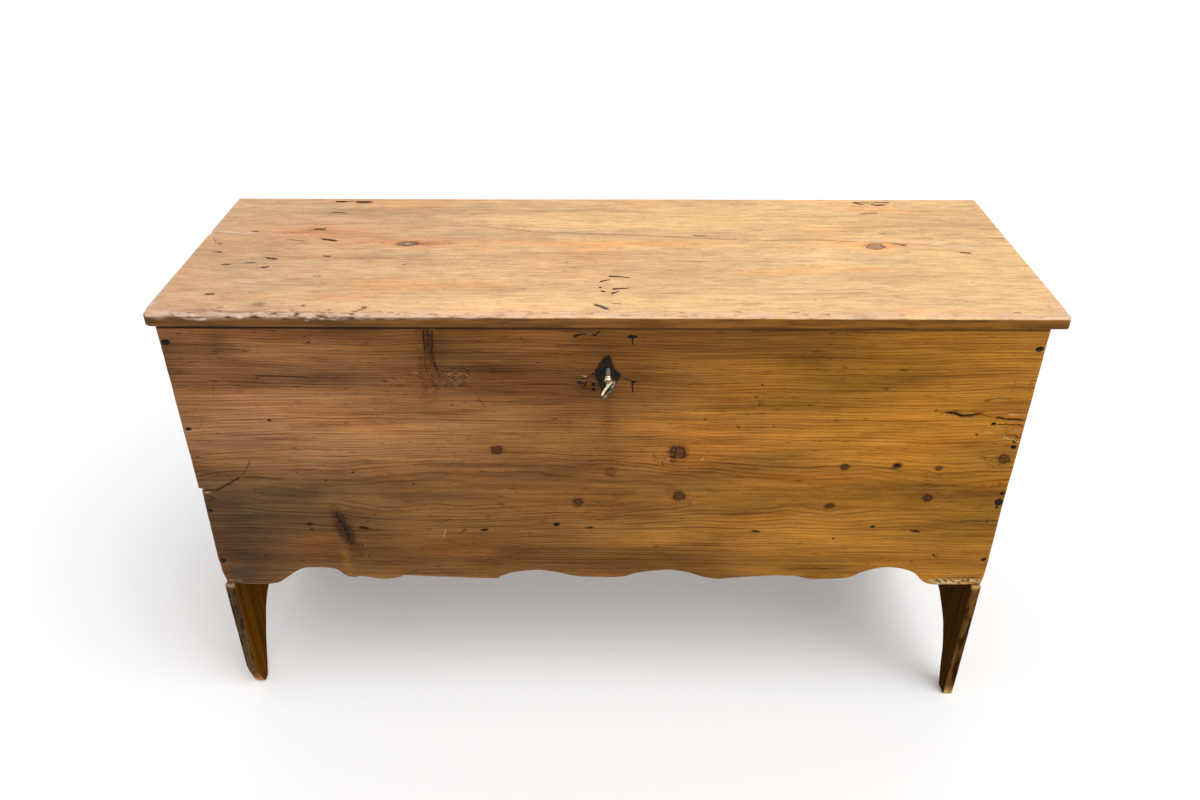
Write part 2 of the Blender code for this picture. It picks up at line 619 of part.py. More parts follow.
slot_right = STUD_OFFSET + BOLT_THROW + slot_half
stud_slot = [(slot_left, bar_middle - slot_half), (slot_right, bar_middle - slot_half),
             (slot_right, bar_middle + slot_half), (slot_left, bar_middle + slot_half)]
plate("lock_bolt", [bolt_outline, stud_slot], BOLT_THICK, place(KEY_X, BOLT_Y, KEY_Z) @ FACING_FRONT,
      IRON, bolt_axis)

# Lock spring, a leaf that bears down on the bolt
foot_right = inner_half - FIT
foot_height = LOCK_TOP - LOCK_WALL - FIT - SPRING_THICK / 2 - KEY_Z
rest_height = bar_high + FIT + SPRING_THICK / 2
spring_path = [(foot_right, foot_height)]
for step in range(SPRING_STEPS + 1):
    share = step / SPRING_STEPS
    fall = (1 - math.cos(math.pi * share)) / 2
    spring_path.append((foot_right - SPRING_FOOT - SPRING_REACH * share,
                        foot_height + (rest_height - foot_height) * fall))
upper = [(x, z + SPRING_THICK / 2) for x, z in spring_path]
lower = [(x, z - SPRING_THICK / 2) for x, z in spring_path]
plate("lock_spring", [upper + lower[::-1]], SPRING_WIDE, place(KEY_X, BOLT_Y, KEY_Z) @ FACING_FRONT, IRON)

# Lock nails, driven from inside and turned over on the front. Seen from inside, a nail's own X runs left.
lock_nail_x = LOCK_HALF_WIDTH + LOCK_EAR / 2
lock_nail_head = (LOCK_NAIL_HEAD, LOCK_NAIL_HEAD, LOCK_NAIL_HEAD_THICK)
inward_tail = (-LOCK_NAIL_TAIL, 0, 0)
downward_tail = (0, -LOCK_NAIL_TAIL, 0)
lock_nail_spots = ((-lock_nail_x, LOCK_TOP - LOCK_NAIL_INSET, inward_tail),
                   (lock_nail_x, LOCK_TOP - LOCK_NAIL_INSET, downward_tail),
                   (-lock_nail_x, LOCK_LOW + LOCK_NAIL_INSET, inward_tail),
                   (lock_nail_x, LOCK_LOW + LOCK_NAIL_INSET, downward_tail))
for number, (x, z, tail) in enumerate(lock_nail_spots, 1):
    seat = place(KEY_X + x, LOCK_FACE + LOCK_WALL, z) @ FACING_BACK
    drive(f"lock_nail_{number}", seat, [lock_case, front_board], lock_nail_head, LOCK_NAIL_SHANK,
          LOCK_FACE + LOCK_WALL - FRONT_Y, tail=tail)

# Hasp, a strap nailed under the lid with a loop that drops into the lock
hasp_front = FRONT_INNER + HASP_SETBACK
hasp = box("hasp", (KEY_X - HASP_WIDTH / 2, hasp_front, HASP_LOW),
           (KEY_X + HASP_WIDTH / 2, hasp_front + HASP_LENGTH, HASP_TOP), IRON, lid_axis)
eye_half_high = BOLT_HIGH / 2 + BOLT_END_CLEARANCE
eye_half_deep = LOOP_DEPTH / 2 - LOOP_BAR
loop_low = BOLT_Z - eye_half_high - LOOP_FOOT
loop_top = HASP_LOW + HASP_THICK / 2
eye_front = BOLT_Y - eye_half_deep
eye_rear = BOLT_Y + eye_half_deep
eye_low = BOLT_Z - eye_half_high
eye_top = BOLT_Z + eye_half_high
loop_outline = [(eye_front - LOOP_BAR, loop_low), (eye_rear + LOOP_BAR, loop_low),
                (eye_rear + LOOP_BAR, loop_top), (eye_front - LOOP_BAR, loop_top)]
eye_outline = [(eye_front, eye_low), (eye_rear, eye_low), (eye_rear, eye_top), (eye_front, eye_top)]
hasp_loop = plate("hasp_loop", [loop_outline, eye_outline], LOOP_THICK, place(loop_x, 0, 0) @ FACING_SIDE)
boolean(hasp, hasp_loop, "UNION")
hasp_rows = spaced(LOCK_BACK + HASP_NAIL_FIRST, hasp_front + HASP_LENGTH - HASP_NAIL_LAST, HASP_NAIL_ROWS)
hasp_spots = [(side, y) for y in hasp_rows for side in (-1, 1)]
for number, (side, y) in enumerate(hasp_spots, 1):
    seat = place(KEY_X + side * HASP_NAIL_SPREAD, y, HASP_LOW) @ FACING_DOWN
    drive(f"hasp_nail_{number}", seat, [hasp, lid], lock_nail_head, LOCK_NAIL_SHANK, LID_TOP - HASP_LOW,
          tail=(side * HASP_NAIL_TAIL, 0, 0), parent=lid_axis)

# Escutcheon, a small diamond of sheet iron with four pins
plate_middle = (PLATE_ABOVE_KEY - PLATE_BELOW_KEY) / 2
diamond = [(0, PLATE_ABOVE_KEY), (-PLATE_HALF_WIDTH, plate_middle), (0, -PLATE_BELOW_KEY),
           (PLATE_HALF_WIDTH, plate_middle)]
escutcheon = plate("escutcheon", [diamond, keyhole_loop], PLATE_THICK,
                   place(KEY_X, FRONT_Y - FIT - PLATE_THICK / 2, KEY_Z) @ FACING_FRONT, IRON)
pin_spots = ((0, PLATE_ABOVE_KEY - PLATE_PIN_INSET), (PLATE_HALF_WIDTH - PLATE_PIN_INSET, plate_middle),
             (0, PLATE_PIN_INSET - PLATE_BELOW_KEY), (PLATE_PIN_INSET - PLATE_HALF_WIDTH, plate_middle))
for number, (x, z) in enumerate(pin_spots, 1):
    seat = place(KEY_X + x, FRONT_Y - FIT - PLATE_THICK, KEY_Z + z) @ FACING_FRONT
    drive(f"escutcheon_pin_{number}", seat, [escutcheon, front_board],
          (PLATE_PIN_HEAD, PLATE_PIN_HEAD, PLATE_PIN_HEAD_THICK), PLATE_PIN_SHANK, PLATE_PIN_LENGTH,
          point=PLATE_PIN_POINT)

# Key, a turned shank with a bit and an oval bow. Its own Z points out of the front, its own Y to the bit.
key_axis = axis_empty("key_axis", (KEY_X, FRONT_Y, KEY_Z))
key_seat = place(KEY_X, FRONT_Y, KEY_Z) @ FACING_FRONT @ Matrix.Rotation(-KEY_LEAN, 4, "Z")
pin_end = FRONT_Y - LOCK_BACK
pin_root = pin_end + LOCK_WALL + FIT
collar_end = KEY_COLLAR_OUT + KEY_COLLAR_LENGTH
bow_root = BOW_CENTRE_OUT - BOW_HALF_ALONG
key = turned("key", [(0, bow_root), (KEY_SHANK_RADIUS, bow_root), (KEY_SHANK_RADIUS, collar_end),
                     (KEY_COLLAR_RADIUS, collar_end), (KEY_COLLAR_RADIUS, KEY_COLLAR_OUT),
                     (KEY_SHANK_RADIUS, KEY_COLLAR_OUT), (KEY_SHANK_RADIUS, pin_root),
                     (KEY_PIN_RADIUS, pin_root), (KEY_PIN_RADIUS, pin_end), (0, pin_end)],
             key_seat, PLATED, key_axis)
bow_curve = bpy.data.curves.new("key_bow", "CURVE")
bow_curve.dimensions = "3D"
bow_curve.bevel_depth = BOW_WIRE_RADIUS
bow_curve.bevel_resolution = 2
bow_ring = bow_curve.splines.new("POLY")
bow_ring.points.add(BOW_STEPS - 1)
bow_ring.use_cyclic_u = True
for step, point in enumerate(bow_ring.points):
    turn = 2 * math.pi * step / BOW_STEPS
    point.co = (0, BOW_HALF_ACROSS * math.sin(turn), BOW_CENTRE_OUT - BOW_HALF_ALONG * math.cos(turn), 1)
key_bow = add("key_bow", curve_mesh("key_bow", bow_curve), key_seat)
bit_middle = FRONT_Y - BOLT_Y
bit_half = BOLT_THICK / 2 + BOLT_SIDE_CLEARANCE / 2
bit_block = place(0, BIT_REACH / 2, bit_middle) @ Matrix.Diagonal((BIT_THICK, BIT_REACH, 2 * bit_half, 1))
bit_mesh = as_mesh("key_bit", lambda shape: bmesh.ops.create_cube(shape, size=1.0, matrix=bit_block))
key_bit = add("key_bit", bit_mesh, key_seat)
boolean(key, key_bow, "UNION")
boolean(key, key_bit, "UNION")

# Open every board and plate for the nails that pass through it
for board in (front_board, back_board, left_end, right_end, bottom_board, lid, lock_case, hasp, escutcheon):
    if board.name in holes:
        mesh = bpy.data.meshes.new(board.name + "_nail_holes")
        holes[board.name].to_mesh(mesh)
        holes[board.name].free()
        boolean(board, add(board.name + "_nail_holes", mesh, Matrix()), "DIFFERENCE")
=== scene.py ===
"""An old nailed pine blanket chest, its lid on wire hinges, with an iron lock and its key."""
import math

import bmesh
import bpy
import numpy as np
from mathutils import Matrix, Vector, geometry, kdtree, noise


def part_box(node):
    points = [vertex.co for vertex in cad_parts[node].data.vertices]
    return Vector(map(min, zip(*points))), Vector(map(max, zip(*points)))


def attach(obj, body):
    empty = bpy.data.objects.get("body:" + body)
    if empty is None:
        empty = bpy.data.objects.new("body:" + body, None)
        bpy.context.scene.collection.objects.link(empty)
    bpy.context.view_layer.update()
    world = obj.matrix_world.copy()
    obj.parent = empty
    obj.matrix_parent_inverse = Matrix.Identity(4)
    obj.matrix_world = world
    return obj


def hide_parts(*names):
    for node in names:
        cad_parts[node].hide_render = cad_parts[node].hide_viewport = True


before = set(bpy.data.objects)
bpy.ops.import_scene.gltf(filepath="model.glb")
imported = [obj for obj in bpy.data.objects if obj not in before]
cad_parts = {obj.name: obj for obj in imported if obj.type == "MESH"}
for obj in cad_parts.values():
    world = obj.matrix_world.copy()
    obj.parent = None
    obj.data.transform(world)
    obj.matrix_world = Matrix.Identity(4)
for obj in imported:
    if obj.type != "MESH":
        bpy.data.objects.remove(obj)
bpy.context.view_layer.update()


# Bottom board: one plain pine board, never waxed, its ends let into a groove in each end board.
# Nails through the front and the back hold it. It shows from below and when the lid is open.
def neighbours(ring):
    """Each item of a closed ring, with the one before it and the one after it."""
    return zip(ring[-1:] + ring[:-1], ring, ring[1:] + ring[:1])


def eased(corners, step):
    """A closed outline from (along, across, reach) corners, each rounded over its reach."""
    arc = 5
    path = []
    for before, corner, after in neighbours(corners):
        spot = Vector(corner[:2])
        back = Vector(before[:2]) - spot
        on = Vector(after[:2]) - spot
        reach = min(corner[2], 0.45 * back.length, 0.45 * on.length)
        first = spot + back.normalized() * reach
        last = spot + on.normalized() * reach
        for turn in range(arc + 1 if reach > 0.001 else 1):
            share = turn / arc
            path.append(first.lerp(spot, share).lerp(spot.lerp(last, share), share))
    dense = []
    for here, there in zip(path, path[1:] + path[:1]):
        parts = max(1, math.ceil((there - here).length / step))
        dense += [here.lerp(there, part / parts) for part in range(parts)]
    return dense


def oblong(left, low, right, high, reach):
    """The corners of a plain board."""
    return [(left, low, reach), (right, low, reach), (right, high, reach), (left, high, reach)]


def lying(top):
    """Puts (along, across, depth) into a piece that lies flat, from its upper face down."""
    return lambda along, across, depth: (along, across, top - depth)


def within(points, loop):
    """Which of the points lie inside a closed loop."""
    hit = np.zeros(len(points), bool)
    for (ax, ay), (bx, by) in zip(loop, np.roll(loop, -1, 0)):
        if ay != by:
            level = (ay > points[:, 1]) != (by > points[:, 1])
            hit ^= level & (points[:, 0] < (bx - ax) * (points[:, 1] - ay) / (by - ay) + ax)
    return hit


def near_points(points):
    """A tree that finds the nearest of some flat points."""
    tree = kdtree.KDTree(len(points))
    for number, point in enumerate(points):
        tree.insert((point[0], point[1], 0.0), number)
    tree.balance()
    return tree


def add_object(name, mesh):
    """An object for a mesh, in the scene, neither moved nor turned."""
    piece = bpy.data.objects.new(name, mesh)
    bpy.context.scene.collection.objects.link(piece)
    return piece


def plank(name, corners, lie, thick, arris, under=0.0012, step=0.006, weave=0.009,
          rubbed=(0.5, 1.0, 1.0, 0.5), dish=lambda *spot: 0.0, tint=lambda *spot: (1.0, 1.0, 1.0, 0.5),
          chew=lambda *spot: (0.0, 0.0), rub=None, marks=(), hole=()):
    """A worn board. lie puts (along, across, depth) into the chest, from its outer face inwards.

    arris gives the rounding of the outer edge, under that of the inner one, and dish how far the face is
    sunk. step and weave space the points round the edge and over the face. rubbed is the wear over the
    rounding, from face to edge. rub gives how far it reaches onto the face, and how strong it is there.
    tint gives colour and stain, and chew how black and how pale the rounding is where it is splintered.
    marks are points of cracks and pits as (along, across, depth, black, pale). hole goes right through.
    """
    splinter_depth = 0.0009
    edge_gap, mark_gap = 0.0008, 0.003
    verts, flat, wear, dark, faces = [], [], [], [], []

    def put(along, across, depth, worn=0.0, black=0.0):
        verts.append(lie(along, across, depth))
        flat.append((along, across))
        wear.append(worn)
        dark.append(black)
        return len(verts) - 1

    rim = eased(corners, step)
    count = len(rim)
    inward, reaches = [], []
    for before, point, after in neighbours(rim):
        run = (after - before).normalized()
        inward.append(Vector((-run.y, run.x)))
        bend = (point - before).angle_signed(after - point)
        tight = 0.6 * ((point - before).length + (after - point).length) / 2 / max(-bend, 0.001)
        reaches.append(min(arris(*point), tight))
    for way in (1, -1):
        for number in range(2 * count)[::way]:
            here, there = number % count, (number - way) % count
            reaches[here] = min(reaches[here], reaches[there] + 0.4 * (rim[here] - rim[there]).length)
    profile = [(math.radians(90 * number / (len(rubbed) - 1)), worn) for number, worn in enumerate(rubbed)]
    rows = []
    for turn, worn in profile:
        row = []
        for point, side, reach in zip(rim, inward, reaches):
            spot = point + side * reach * (1 - math.sin(turn))
            depth = reach * (1 - math.cos(turn))
            strong = rub(*point)[1] if rub else 1.0
            black, pale = chew(*point, turn)
            deep = depth + dish(*spot) * (1 - depth / thick) + splinter_depth * black
            row.append(put(*spot, deep, max(worn * strong * (1 - black), pale), black))
        rows.append(row)
    for turn, worn in reversed(profile):
        row = []
        for point, side in zip(rim, inward):
            spot = point + side * under * (1 - math.sin(turn))
            black = chew(*point, math.pi - turn)[0]
            row.append(put(*spot, thick - under * (1 - math.cos(turn)), worn * rubbed[-1], black))
        rows.append(row)
    for upper, lower in zip(rows, rows[1:]):
        for here in range(count):
            there = (here + 1) % count
            faces.append((upper[here], lower[here], lower[there], upper[there]))

    def fill(row, spacing, outer):
        """Closes one face of the board with triangles over a grid, the marks and the hole."""
        def depth_at(spot):
            return dish(*spot) if outer else thick

        loop = np.array([flat[number] for number in row])
        close = near_points(loop)
        rim_hole = near_points(hole) if hole else None
        made = list(row)
        edges = [(here, (here + 1) % count) for here in range(count)]
        made += [put(*spot, depth_at(spot)) for spot in hole]
        edges += [(count + here, count + (here + 1) % len(hole)) for here in range(len(hole))]

        def clear(spot, margin):
            if close.find((*spot, 0.0))[2] < margin:
                return False
            return rim_hole is None or rim_hole.find((*spot, 0.0))[2] > margin

        drawn = []
        if outer and marks:
            inside = within(np.array([mark[:2] for mark in marks]), loop)
            drawn = [mark for mark, kept in zip(marks, inside) if kept and clear(mark[:2], edge_gap)]
        crowd = near_points([mark[:2] for mark in drawn]) if drawn else None
        low, high = loop.min(0), loop.max(0)
        grid = []
        for line, across in enumerate(np.arange(low[1] + spacing / 2, high[1], spacing * 0.866)):
            start = low[0] + spacing * (0.5 if line % 2 else 1.0)
            grid += [(along, across) for along in np.arange(start, high[0], spacing)]
        for spot, kept in zip(grid, within(np.array(grid), loop)):
            if not kept or not clear(spot, spacing * 0.5):
                continue
            if crowd and crowd.find((*spot, 0.0))[2] < mark_gap:
                continue
            faded = 0.0
            if rub and outer:
                wide, strong = rub(*spot)
                faded = rubbed[0] * strong * max(0.0, 1.0 - close.find((*spot, 0.0))[2] / wide)
            made.append(put(*spot, depth_at(spot), faded))
        for along, across, deep, black, pale in drawn:
            made.append(put(along, across, dish(along, across) + deep, pale, black))
        points = [Vector(flat[number]) for number in made]
        merged, _, found, origins = geometry.delaunay_2d_cdt(points, edges, [], 1, 1e-7)[:4]
        chosen = [made[origin[0]] if origin else put(*spot, depth_at(spot))
                  for spot, origin in zip(merged, origins)]
        middles = np.array([[sum(flat[chosen[number]][axis] for number in face) / 3 for axis in (0, 1)]
                            for face in found])
        gone = within(middles, np.array(hole)) if hole else np.zeros(len(found), bool)
        for face, cut in zip(found, gone):
            if cut:
                continue
            corner = [chosen[number] for number in face]
            (ax, ay), (bx, by), (cx, cy) = (flat[number] for number in corner)
            turned = (bx - ax) * (cy - ay) - (by - ay) * (cx - ax) > 0
            faces.append(tuple(corner if turned == outer else corner[::-1]))
        return made[count:count + len(hole)]

    upper = fill(rows[0], weave, True)
    lower = fill(rows[-1], weave * 2, False)
    for here in range(len(hole)):
        there = (here + 1) % len(hole)
        faces.append((upper[there], lower[there], lower[here], upper[here]))
    mesh = bpy.data.meshes.new(name)
    mesh.from_pydata(verts, [], faces)
    for label, values in (("wear", wear), ("dark", dark)):
        mesh.attributes.new(label, "FLOAT", "POINT").data.foreach_set("value", values)
    tones = [part for spot in flat for part in tint(*spot)]
    mesh.attributes.new("tone", "FLOAT_COLOR", "POINT").data.foreach_set("color", tones)
    mesh.shade_smooth()
    return add_object(name, mesh)


def hollows(deep, lengthwise, crosswise, seed):
    """The shallow hollows of a hand plane, with so many waves to the metre along and across the board."""
    return lambda along, across: deep * (noise.noise((along * lengthwise, across * crosswise, seed)) + 0.6)


class Tint:
    """A socket of a material that can be reckoned with: each operation adds its node to the same material."""

    def __init__(self, tree, socket=None):
        self.tree, self.socket = tree, socket

    def node(self, kind, settings=None, sockets=None, out=0):
        made = self.tree.nodes.new("ShaderNode" + kind)
        for name, value in (settings or {}).items():
            setattr(made, name, value)
        for name, value in (sockets or {}).items():
            socket = made.inputs[name]
            if isinstance(value, Tint):
                self.tree.links.new(value.socket, socket)
            elif socket.type == "RGBA":
                socket.default_value = (*value[:3], 1.0)
            else:
                socket.default_value = value
        return Tint(self.tree, made.outputs[out] if len(made.outputs) else None)

    def out(self, name):
        return Tint(self.tree, self.socket.node.outputs[name])

    def reckon(self, operation, first, second=0.5):
        return self.node("Math", {"operation": operation}, {0: first, 1: second})

    def __add__(self, other):
        return self.reckon("ADD", self, other)

    def __sub__(self, other):
        return self.reckon("SUBTRACT", self, other)

    def __rsub__(self, other):
        return self.reckon("SUBTRACT", other, self)

    def __mul__(self, other):
        return self.reckon("MULTIPLY", self, other)

    def __truediv__(self, other):
        return self.reckon("DIVIDE", self, other)

    def __pow__(self, other):
        return self.reckon("POWER", self, other)

    def __rpow__(self, other):
        return self.reckon("POWER", other, self)

    __radd__ = __add__
    __rmul__ = __mul__

    def most(self, other):
        return self.reckon("MAXIMUM", self, other)

    def soft(self, low, high):
        """0 at low and below, 1 at high and above, and smooth between them. low may be the greater."""
        flip = low > high
        ends = {"Value": self, "From Min": min(low, high), "From Max": max(low, high),
                "To Min": float(flip), "To Max": float(not flip)}
        return self.node("MapRange", {"interpolation_type": "SMOOTHSTEP"}, ends)

    def between(self, first, second):
        """A colour that goes from the first to the second as this goes from 0 to 1."""
        return self.node("Mix", {"data_type": "RGBA"}, {0: self, 6: first, 7: second}, out=2)

    def under(self, cover, share, blend="MIX"):
        """This colour, with another laid over it by a share."""
        settings = {"data_type": "RGBA", "blend_type": blend}
        return self.node("Mix", settings, {0: share, 6: self, 7: cover}, out=2)

    def times(self, cover, share):
        """This colour, multiplied by another by a share."""
        return self.under(cover, share, "MULTIPLY")

    def ends(self, sockets):
        """Ends the material with a surface that has these sockets."""
        self.node("OutputMaterial", sockets={"Surface": self.node("BsdfPrincipled", sockets=sockets)})


def new_material(name):
    """An empty material, and the place on the object as its first socket."""
    material = bpy.data.materials.new(name)
    material.use_nodes = True
    material.node_tree.nodes.clear()
    return material, Tint(material.node_tree).node("TexCoord", out="Object")


def old_pine(name, grain, pith, ring, pale, brown, raw, raw_depth, worn, seed, knots=(), wander=0.10,
             contrast=(1.0, 1.0, 1.0, 1.0), short=1.0, scuffs=0.0, patches=0.0, edge=None, low=None,
             sheen=0.45, gloss=0.12,
             knot=((0.024, 0.012, 0.006), (0.60, 0.48, 0.39), (0.010, 0.006, 0.004))):
    """Flat-sawn pine with its growth rings, fibres, knots, stains and wear. Colours are linear.

    grain names the axes along the grain, across the board and through it. pith is where the rings' middle
    lies, across and through, and ring is one year's width. The wood is pale and brown within a year, and
    raw where it was never waxed. raw_depth gives the depths between which it turns raw. worn is the colour
    of rubbed places. contrast is that of blotches, smudges, streaks and fibres, and short cuts them short.
    edge gives the colours of the board's edge, at its left and right, and the depths between which the face
    turns to them. low is a colour of the raw wood's lower end, with the heights between which it starts.
    knots are (along, across, half length, half height, black, tilt, bulge), and knot gives the colours of a
    knot, of its halo and of its rim. wander is how far the pith strays. patches and scuffs are the strength
    of spots and of scratches. sheen is the roughness, and gloss the reflection.
    """
    material, place = new_material(name)
    parts = place.node("SeparateXYZ", sockets={"Vector": place})
    along, across, through = (parts.out(letter) for letter in grain)

    def cloud(long, wide, number, detail=2.0, turn=0.0):
        """Noise in the wood, with so many waves to the metre along and across the grain."""
        scale = [0.0, 0.0, 0.0]
        for letter, waves in zip(grain, (long, wide, wide)):
            scale["XYZ".index(letter)] = waves
        source = place
        if turn:
            angles = [0.0, 0.0, 0.0]
            angles["XYZ".index(grain[2])] = turn
            source = place.node("Mapping", {"vector_type": "POINT"}, {"Vector": place, "Rotation": angles})
        stretched = place.node("VectorMath", {"operation": "MULTIPLY_ADD"},
                               {0: source, 1: scale, 2: (seed + number * 3.7, number * 1.9, number * 5.3)})
        return place.node("TexNoise", sockets={"Vector": stretched, "Scale": 1.0, "Detail": detail})

    def stray(value, number):
        return place.node("TexNoise", {"noise_dimensions": "1D"}, {"W": value + number, "Scale": 1.0})

    def attribute(label, out):
        return place.node("Attribute", {"attribute_name": label}, out=out)

    # The grain swells round each knot, and the knot itself is dark, ringed and cracked
    flat = place.node("CombineXYZ", sockets={"X": along, "Y": across})
    ragged = (cloud(70, 70, 1) - 0.5) * 1.1 + (cloud(240, 240, 16, 1.0) - 0.5) * 0.7
    swell, heart, halo, rim = 0.0, 0.0, 0.0, 0.0
    for middle, level, long, high, black, tilt, bulge in knots:
        off = flat.node("Mapping", {"vector_type": "TEXTURE"}, {
            "Vector": flat, "Location": (middle, level, 0.0), "Rotation": (0.0, 0.0, math.radians(tilt)),
            "Scale": (long, high, 1.0)})
        reach = off.node("VectorMath", {"operation": "LENGTH"}, {0: off}, out="Value") + ragged
        if bulge:
            swell = swell + (across - level) * (2.718 ** (reach * reach * -0.14)) * bulge
        rings = reach.reckon("SINE", reach * 15.0) * 0.25 + 0.75
        heart = (reach.soft(1.12, 0.86) * rings * black).most(heart)
        if long < high * 2.5 and high < long * 2.5:
            rim = (reach.soft(0.60, 0.98) * reach.soft(1.22, 1.02) * black).most(rim)
        halo = (reach.soft(2.0, 1.0) * black).most(halo)

    # Growth rings round the pith, each dark at its end, and strong only where they are cut steeply
    bend = (cloud(1.8, 4.0, 2) - 0.5) * 0.045
    sway = (cloud(1.5, 1.0, 3) - 0.5) * wander
    sideways = across - pith[0] + bend - swell
    inwards = through - pith[1] + sway
    reach = (sideways * sideways + inwards * inwards) ** 0.5
    reach = reach + (cloud(6, 60, 4) - 0.5) * 0.0035 + (cloud(15, 22, 23) - 0.5) * 0.0050
    turns = reach / ring + stray(reach * 38.0, 0.0) * 1.6 + stray(reach * 170.0, 5.0) * 0.5
    share = turns.reckon("FRACT", turns)
    year = turns.reckon("FLOOR", turns)
    strength = place.node("TexWhiteNoise", {"noise_dimensions": "1D"}, {"W": year}) * 0.55 + 0.45
    broken = cloud(9, 60, 5).soft(0.3, 0.62) * 0.55 + 0.45
    steep = (sideways * sideways / (reach * reach)).soft(0.0, 0.30) * 0.6 + 0.4
    line = share.soft(0.42, 0.88) * share.soft(1.0, 0.95) * strength * broken * steep
    fibre = cloud(11 * short, 330, 6, 3.0)
    streak = cloud(5 * short, 150, 14)
    smudge = cloud(6 * short, 24, 15, 4.0)
    flecks = cloud(45, 430, 7, 1.0).soft(0.66, 0.77)
    blotch = cloud(2.6, 10, 8, 3.0)
    tone = attribute("tone", "Color")
    stain = tone.out("Alpha")
    wear = attribute("wear", "Fac")
    dark = attribute("dark", "Fac")

    # The waxed face, with stains and grime, then blotches down to single fibres, then patches and scuffs
    colour = line.between(pale, brown).times(tone, 1.0)
    colour = colour.times((0.46, 0.45, 0.52), cloud(1.5, 12, 9).soft(0.48, 0.62) * stain)
    grime = cloud(30, 120, 22, 3.0).soft(0.47, 0.60) * stain.soft(0.80, 0.90)
    colour = colour.times((0.30, 0.27, 0.24), grime)
    for (layer, lower, upper, shade, light), strong in zip((
            (blotch, 0.30, 0.70, (0.72, 0.66, 0.60), (1.22, 1.18, 1.08)),
            (smudge, 0.32, 0.70, (0.76, 0.74, 0.74), (1.15, 1.13, 1.10)),
            (streak, 0.30, 0.70, (0.84, 0.82, 0.80), (1.13, 1.12, 1.09)),
            (fibre, 0.28, 0.72, (0.76, 0.71, 0.66), (1.18, 1.17, 1.14))), contrast):
        colour = colour.times(shade, layer.soft(0.5, lower) * strong)
        colour = colour.times(light, layer.soft(0.5, upper) * strong)
    colour = colour.times((0.46, 0.40, 0.36), flecks * contrast[3])
    if patches:
        mottle = cloud(30, 105, 20)
        specks = cloud(110, 300, 19, 1.0)
        for layer, start, end, shade in (
                (cloud(4, 17, 17, 3.0), 0.53, 0.68, (1.04, 0.88, 0.75)),
                (cloud(5, 20, 18, 4.0), 0.54, 0.70, (0.84, 0.88, 0.91)),
                (mottle, 0.5, 0.32, (0.89, 0.87, 0.85)), (mottle, 0.5, 0.68, (1.08, 1.08, 1.07)),
                (cloud(16, 310, 21, 1.0), 0.66, 0.76, (0.70, 0.63, 0.57)),
                (specks, 0.68, 0.76, (0.62, 0.54, 0.48)), (specks, 0.32, 0.24, (1.16, 1.22, 1.35))):
            colour = colour.times(shade, layer.soft(start, end) * patches)
    if scuffs:
        rubs = 0.0
        for number, turn in ((11, 0.24), (12, -0.35), (13, 0.95)):
            rubs = cloud(14, 560, number, 1.0, turn).soft(0.66, 0.76).most(rubs)
        colour = colour.times((1.16, 1.22, 1.35), rubs * scuffs)
    colour = colour.times(knot[1], halo * 0.75)
    colour = colour.under(knot[0], heart).under(knot[2], rim * 0.6)

    # The raw wood inside, the board's edge, worn places, and the near black of cracks, pits and gaps, which
    # is dirt and painted shade
    old = line.between(raw, [part * 0.62 for part in raw])
    old = old.times((0.72, 0.66, 0.6), fibre.soft(0.55, 0.25))
    old = old.times((0.6, 0.56, 0.52), blotch.soft(0.52, 0.3))
    old = old.under((0.050, 0.022, 0.010), heart * 0.8)
    if low:
        foot = streak.soft(0.35, 0.65).between([part * 0.55 for part in low[0]], low[0])
        old = old.under(foot, along.soft(*low[1]))
    if edge:
        side = along.soft(-0.2, 0.4).between(edge[0], edge[1])
        side = side.times((0.6, 0.6, 0.6), streak.soft(0.65, 0.35))
        side = side.times((0.62, 0.55, 0.5), fibre.soft(0.5, 0.25))
        colour = colour.under(side.times(tone, 0.7), through.soft(*edge[2]))
    rough_wear = wear * (cloud(30, 160, 10, 4.0).soft(0.38, 0.60) * 0.9 + 0.1)
    colour = colour.under(worn, rough_wear)
    colour = colour.under(old, through.soft(*raw_depth))
    # Cracks, pits, gaps and splinters go near black: partly dirt, partly painted shade in the hollows.
    colour = colour.under((0.010, 0.007, 0.005), dark)
    height = fibre * 0.35 + line * 0.4 + blotch * 0.3 - heart * 0.5 - flecks * 0.5 + rough_wear * 0.6
    bump = place.node("Bump", sockets={"Strength": 0.5, "Distance": 0.0007, "Height": height})
    place.ends({"Base Color": colour, "Roughness": 0.16 * fibre + sheen + rough_wear * 0.18, "Normal": bump,
                "Specular IOR Level": gloss})
    return material


def finish(piece, nodes, body="carcass", material=None):
    """Gives a piece its material, puts it on the body it rides on, and hides the solids that it stands for.
    """
    if material:
        piece.data.materials.append(material)
    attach(piece, body)
    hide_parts(*nodes)


def measured(rows, count=2, along=0.0, across=0.0):
    """Rows in metres, the first count values of each given in millimetres from a place along and across."""
    return [(along + row[0] / 1000, across + row[1] / 1000, *(value / 1000 for value in row[2:count]),
             *row[count:]) for row in rows]


raw_board = (0.27, 0.155, 0.075)
low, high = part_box("bottom_board")
bottom = plank("bottom_plank", oblong(low.x, low.y, high.x, high.y, 0.001), lying(high.z), high.z - low.z,
               lambda along, across: 0.0008, weave=0.016, dish=hollows(0.0006, 3, 11, 4))
bottom_knots = measured(((-310, 80, 16, 11, 0.9, 0, 0.6), (220, -50, 12, 9, 0.8, 0, 0.6),
                         (440, 130, 14, 10, 0.9, 0, 0.6)), 4)
finish(bottom, ["bottom_board"], material=old_pine(
    "bottom_pine", "XYZ", (0.03, 0.44), 0.006, (0.30, 0.175, 0.085), (0.17, 0.09, 0.04), raw_board,
    (0.30, 0.31), (0.40, 0.26, 0.14), 3.0, knots=bottom_knots))


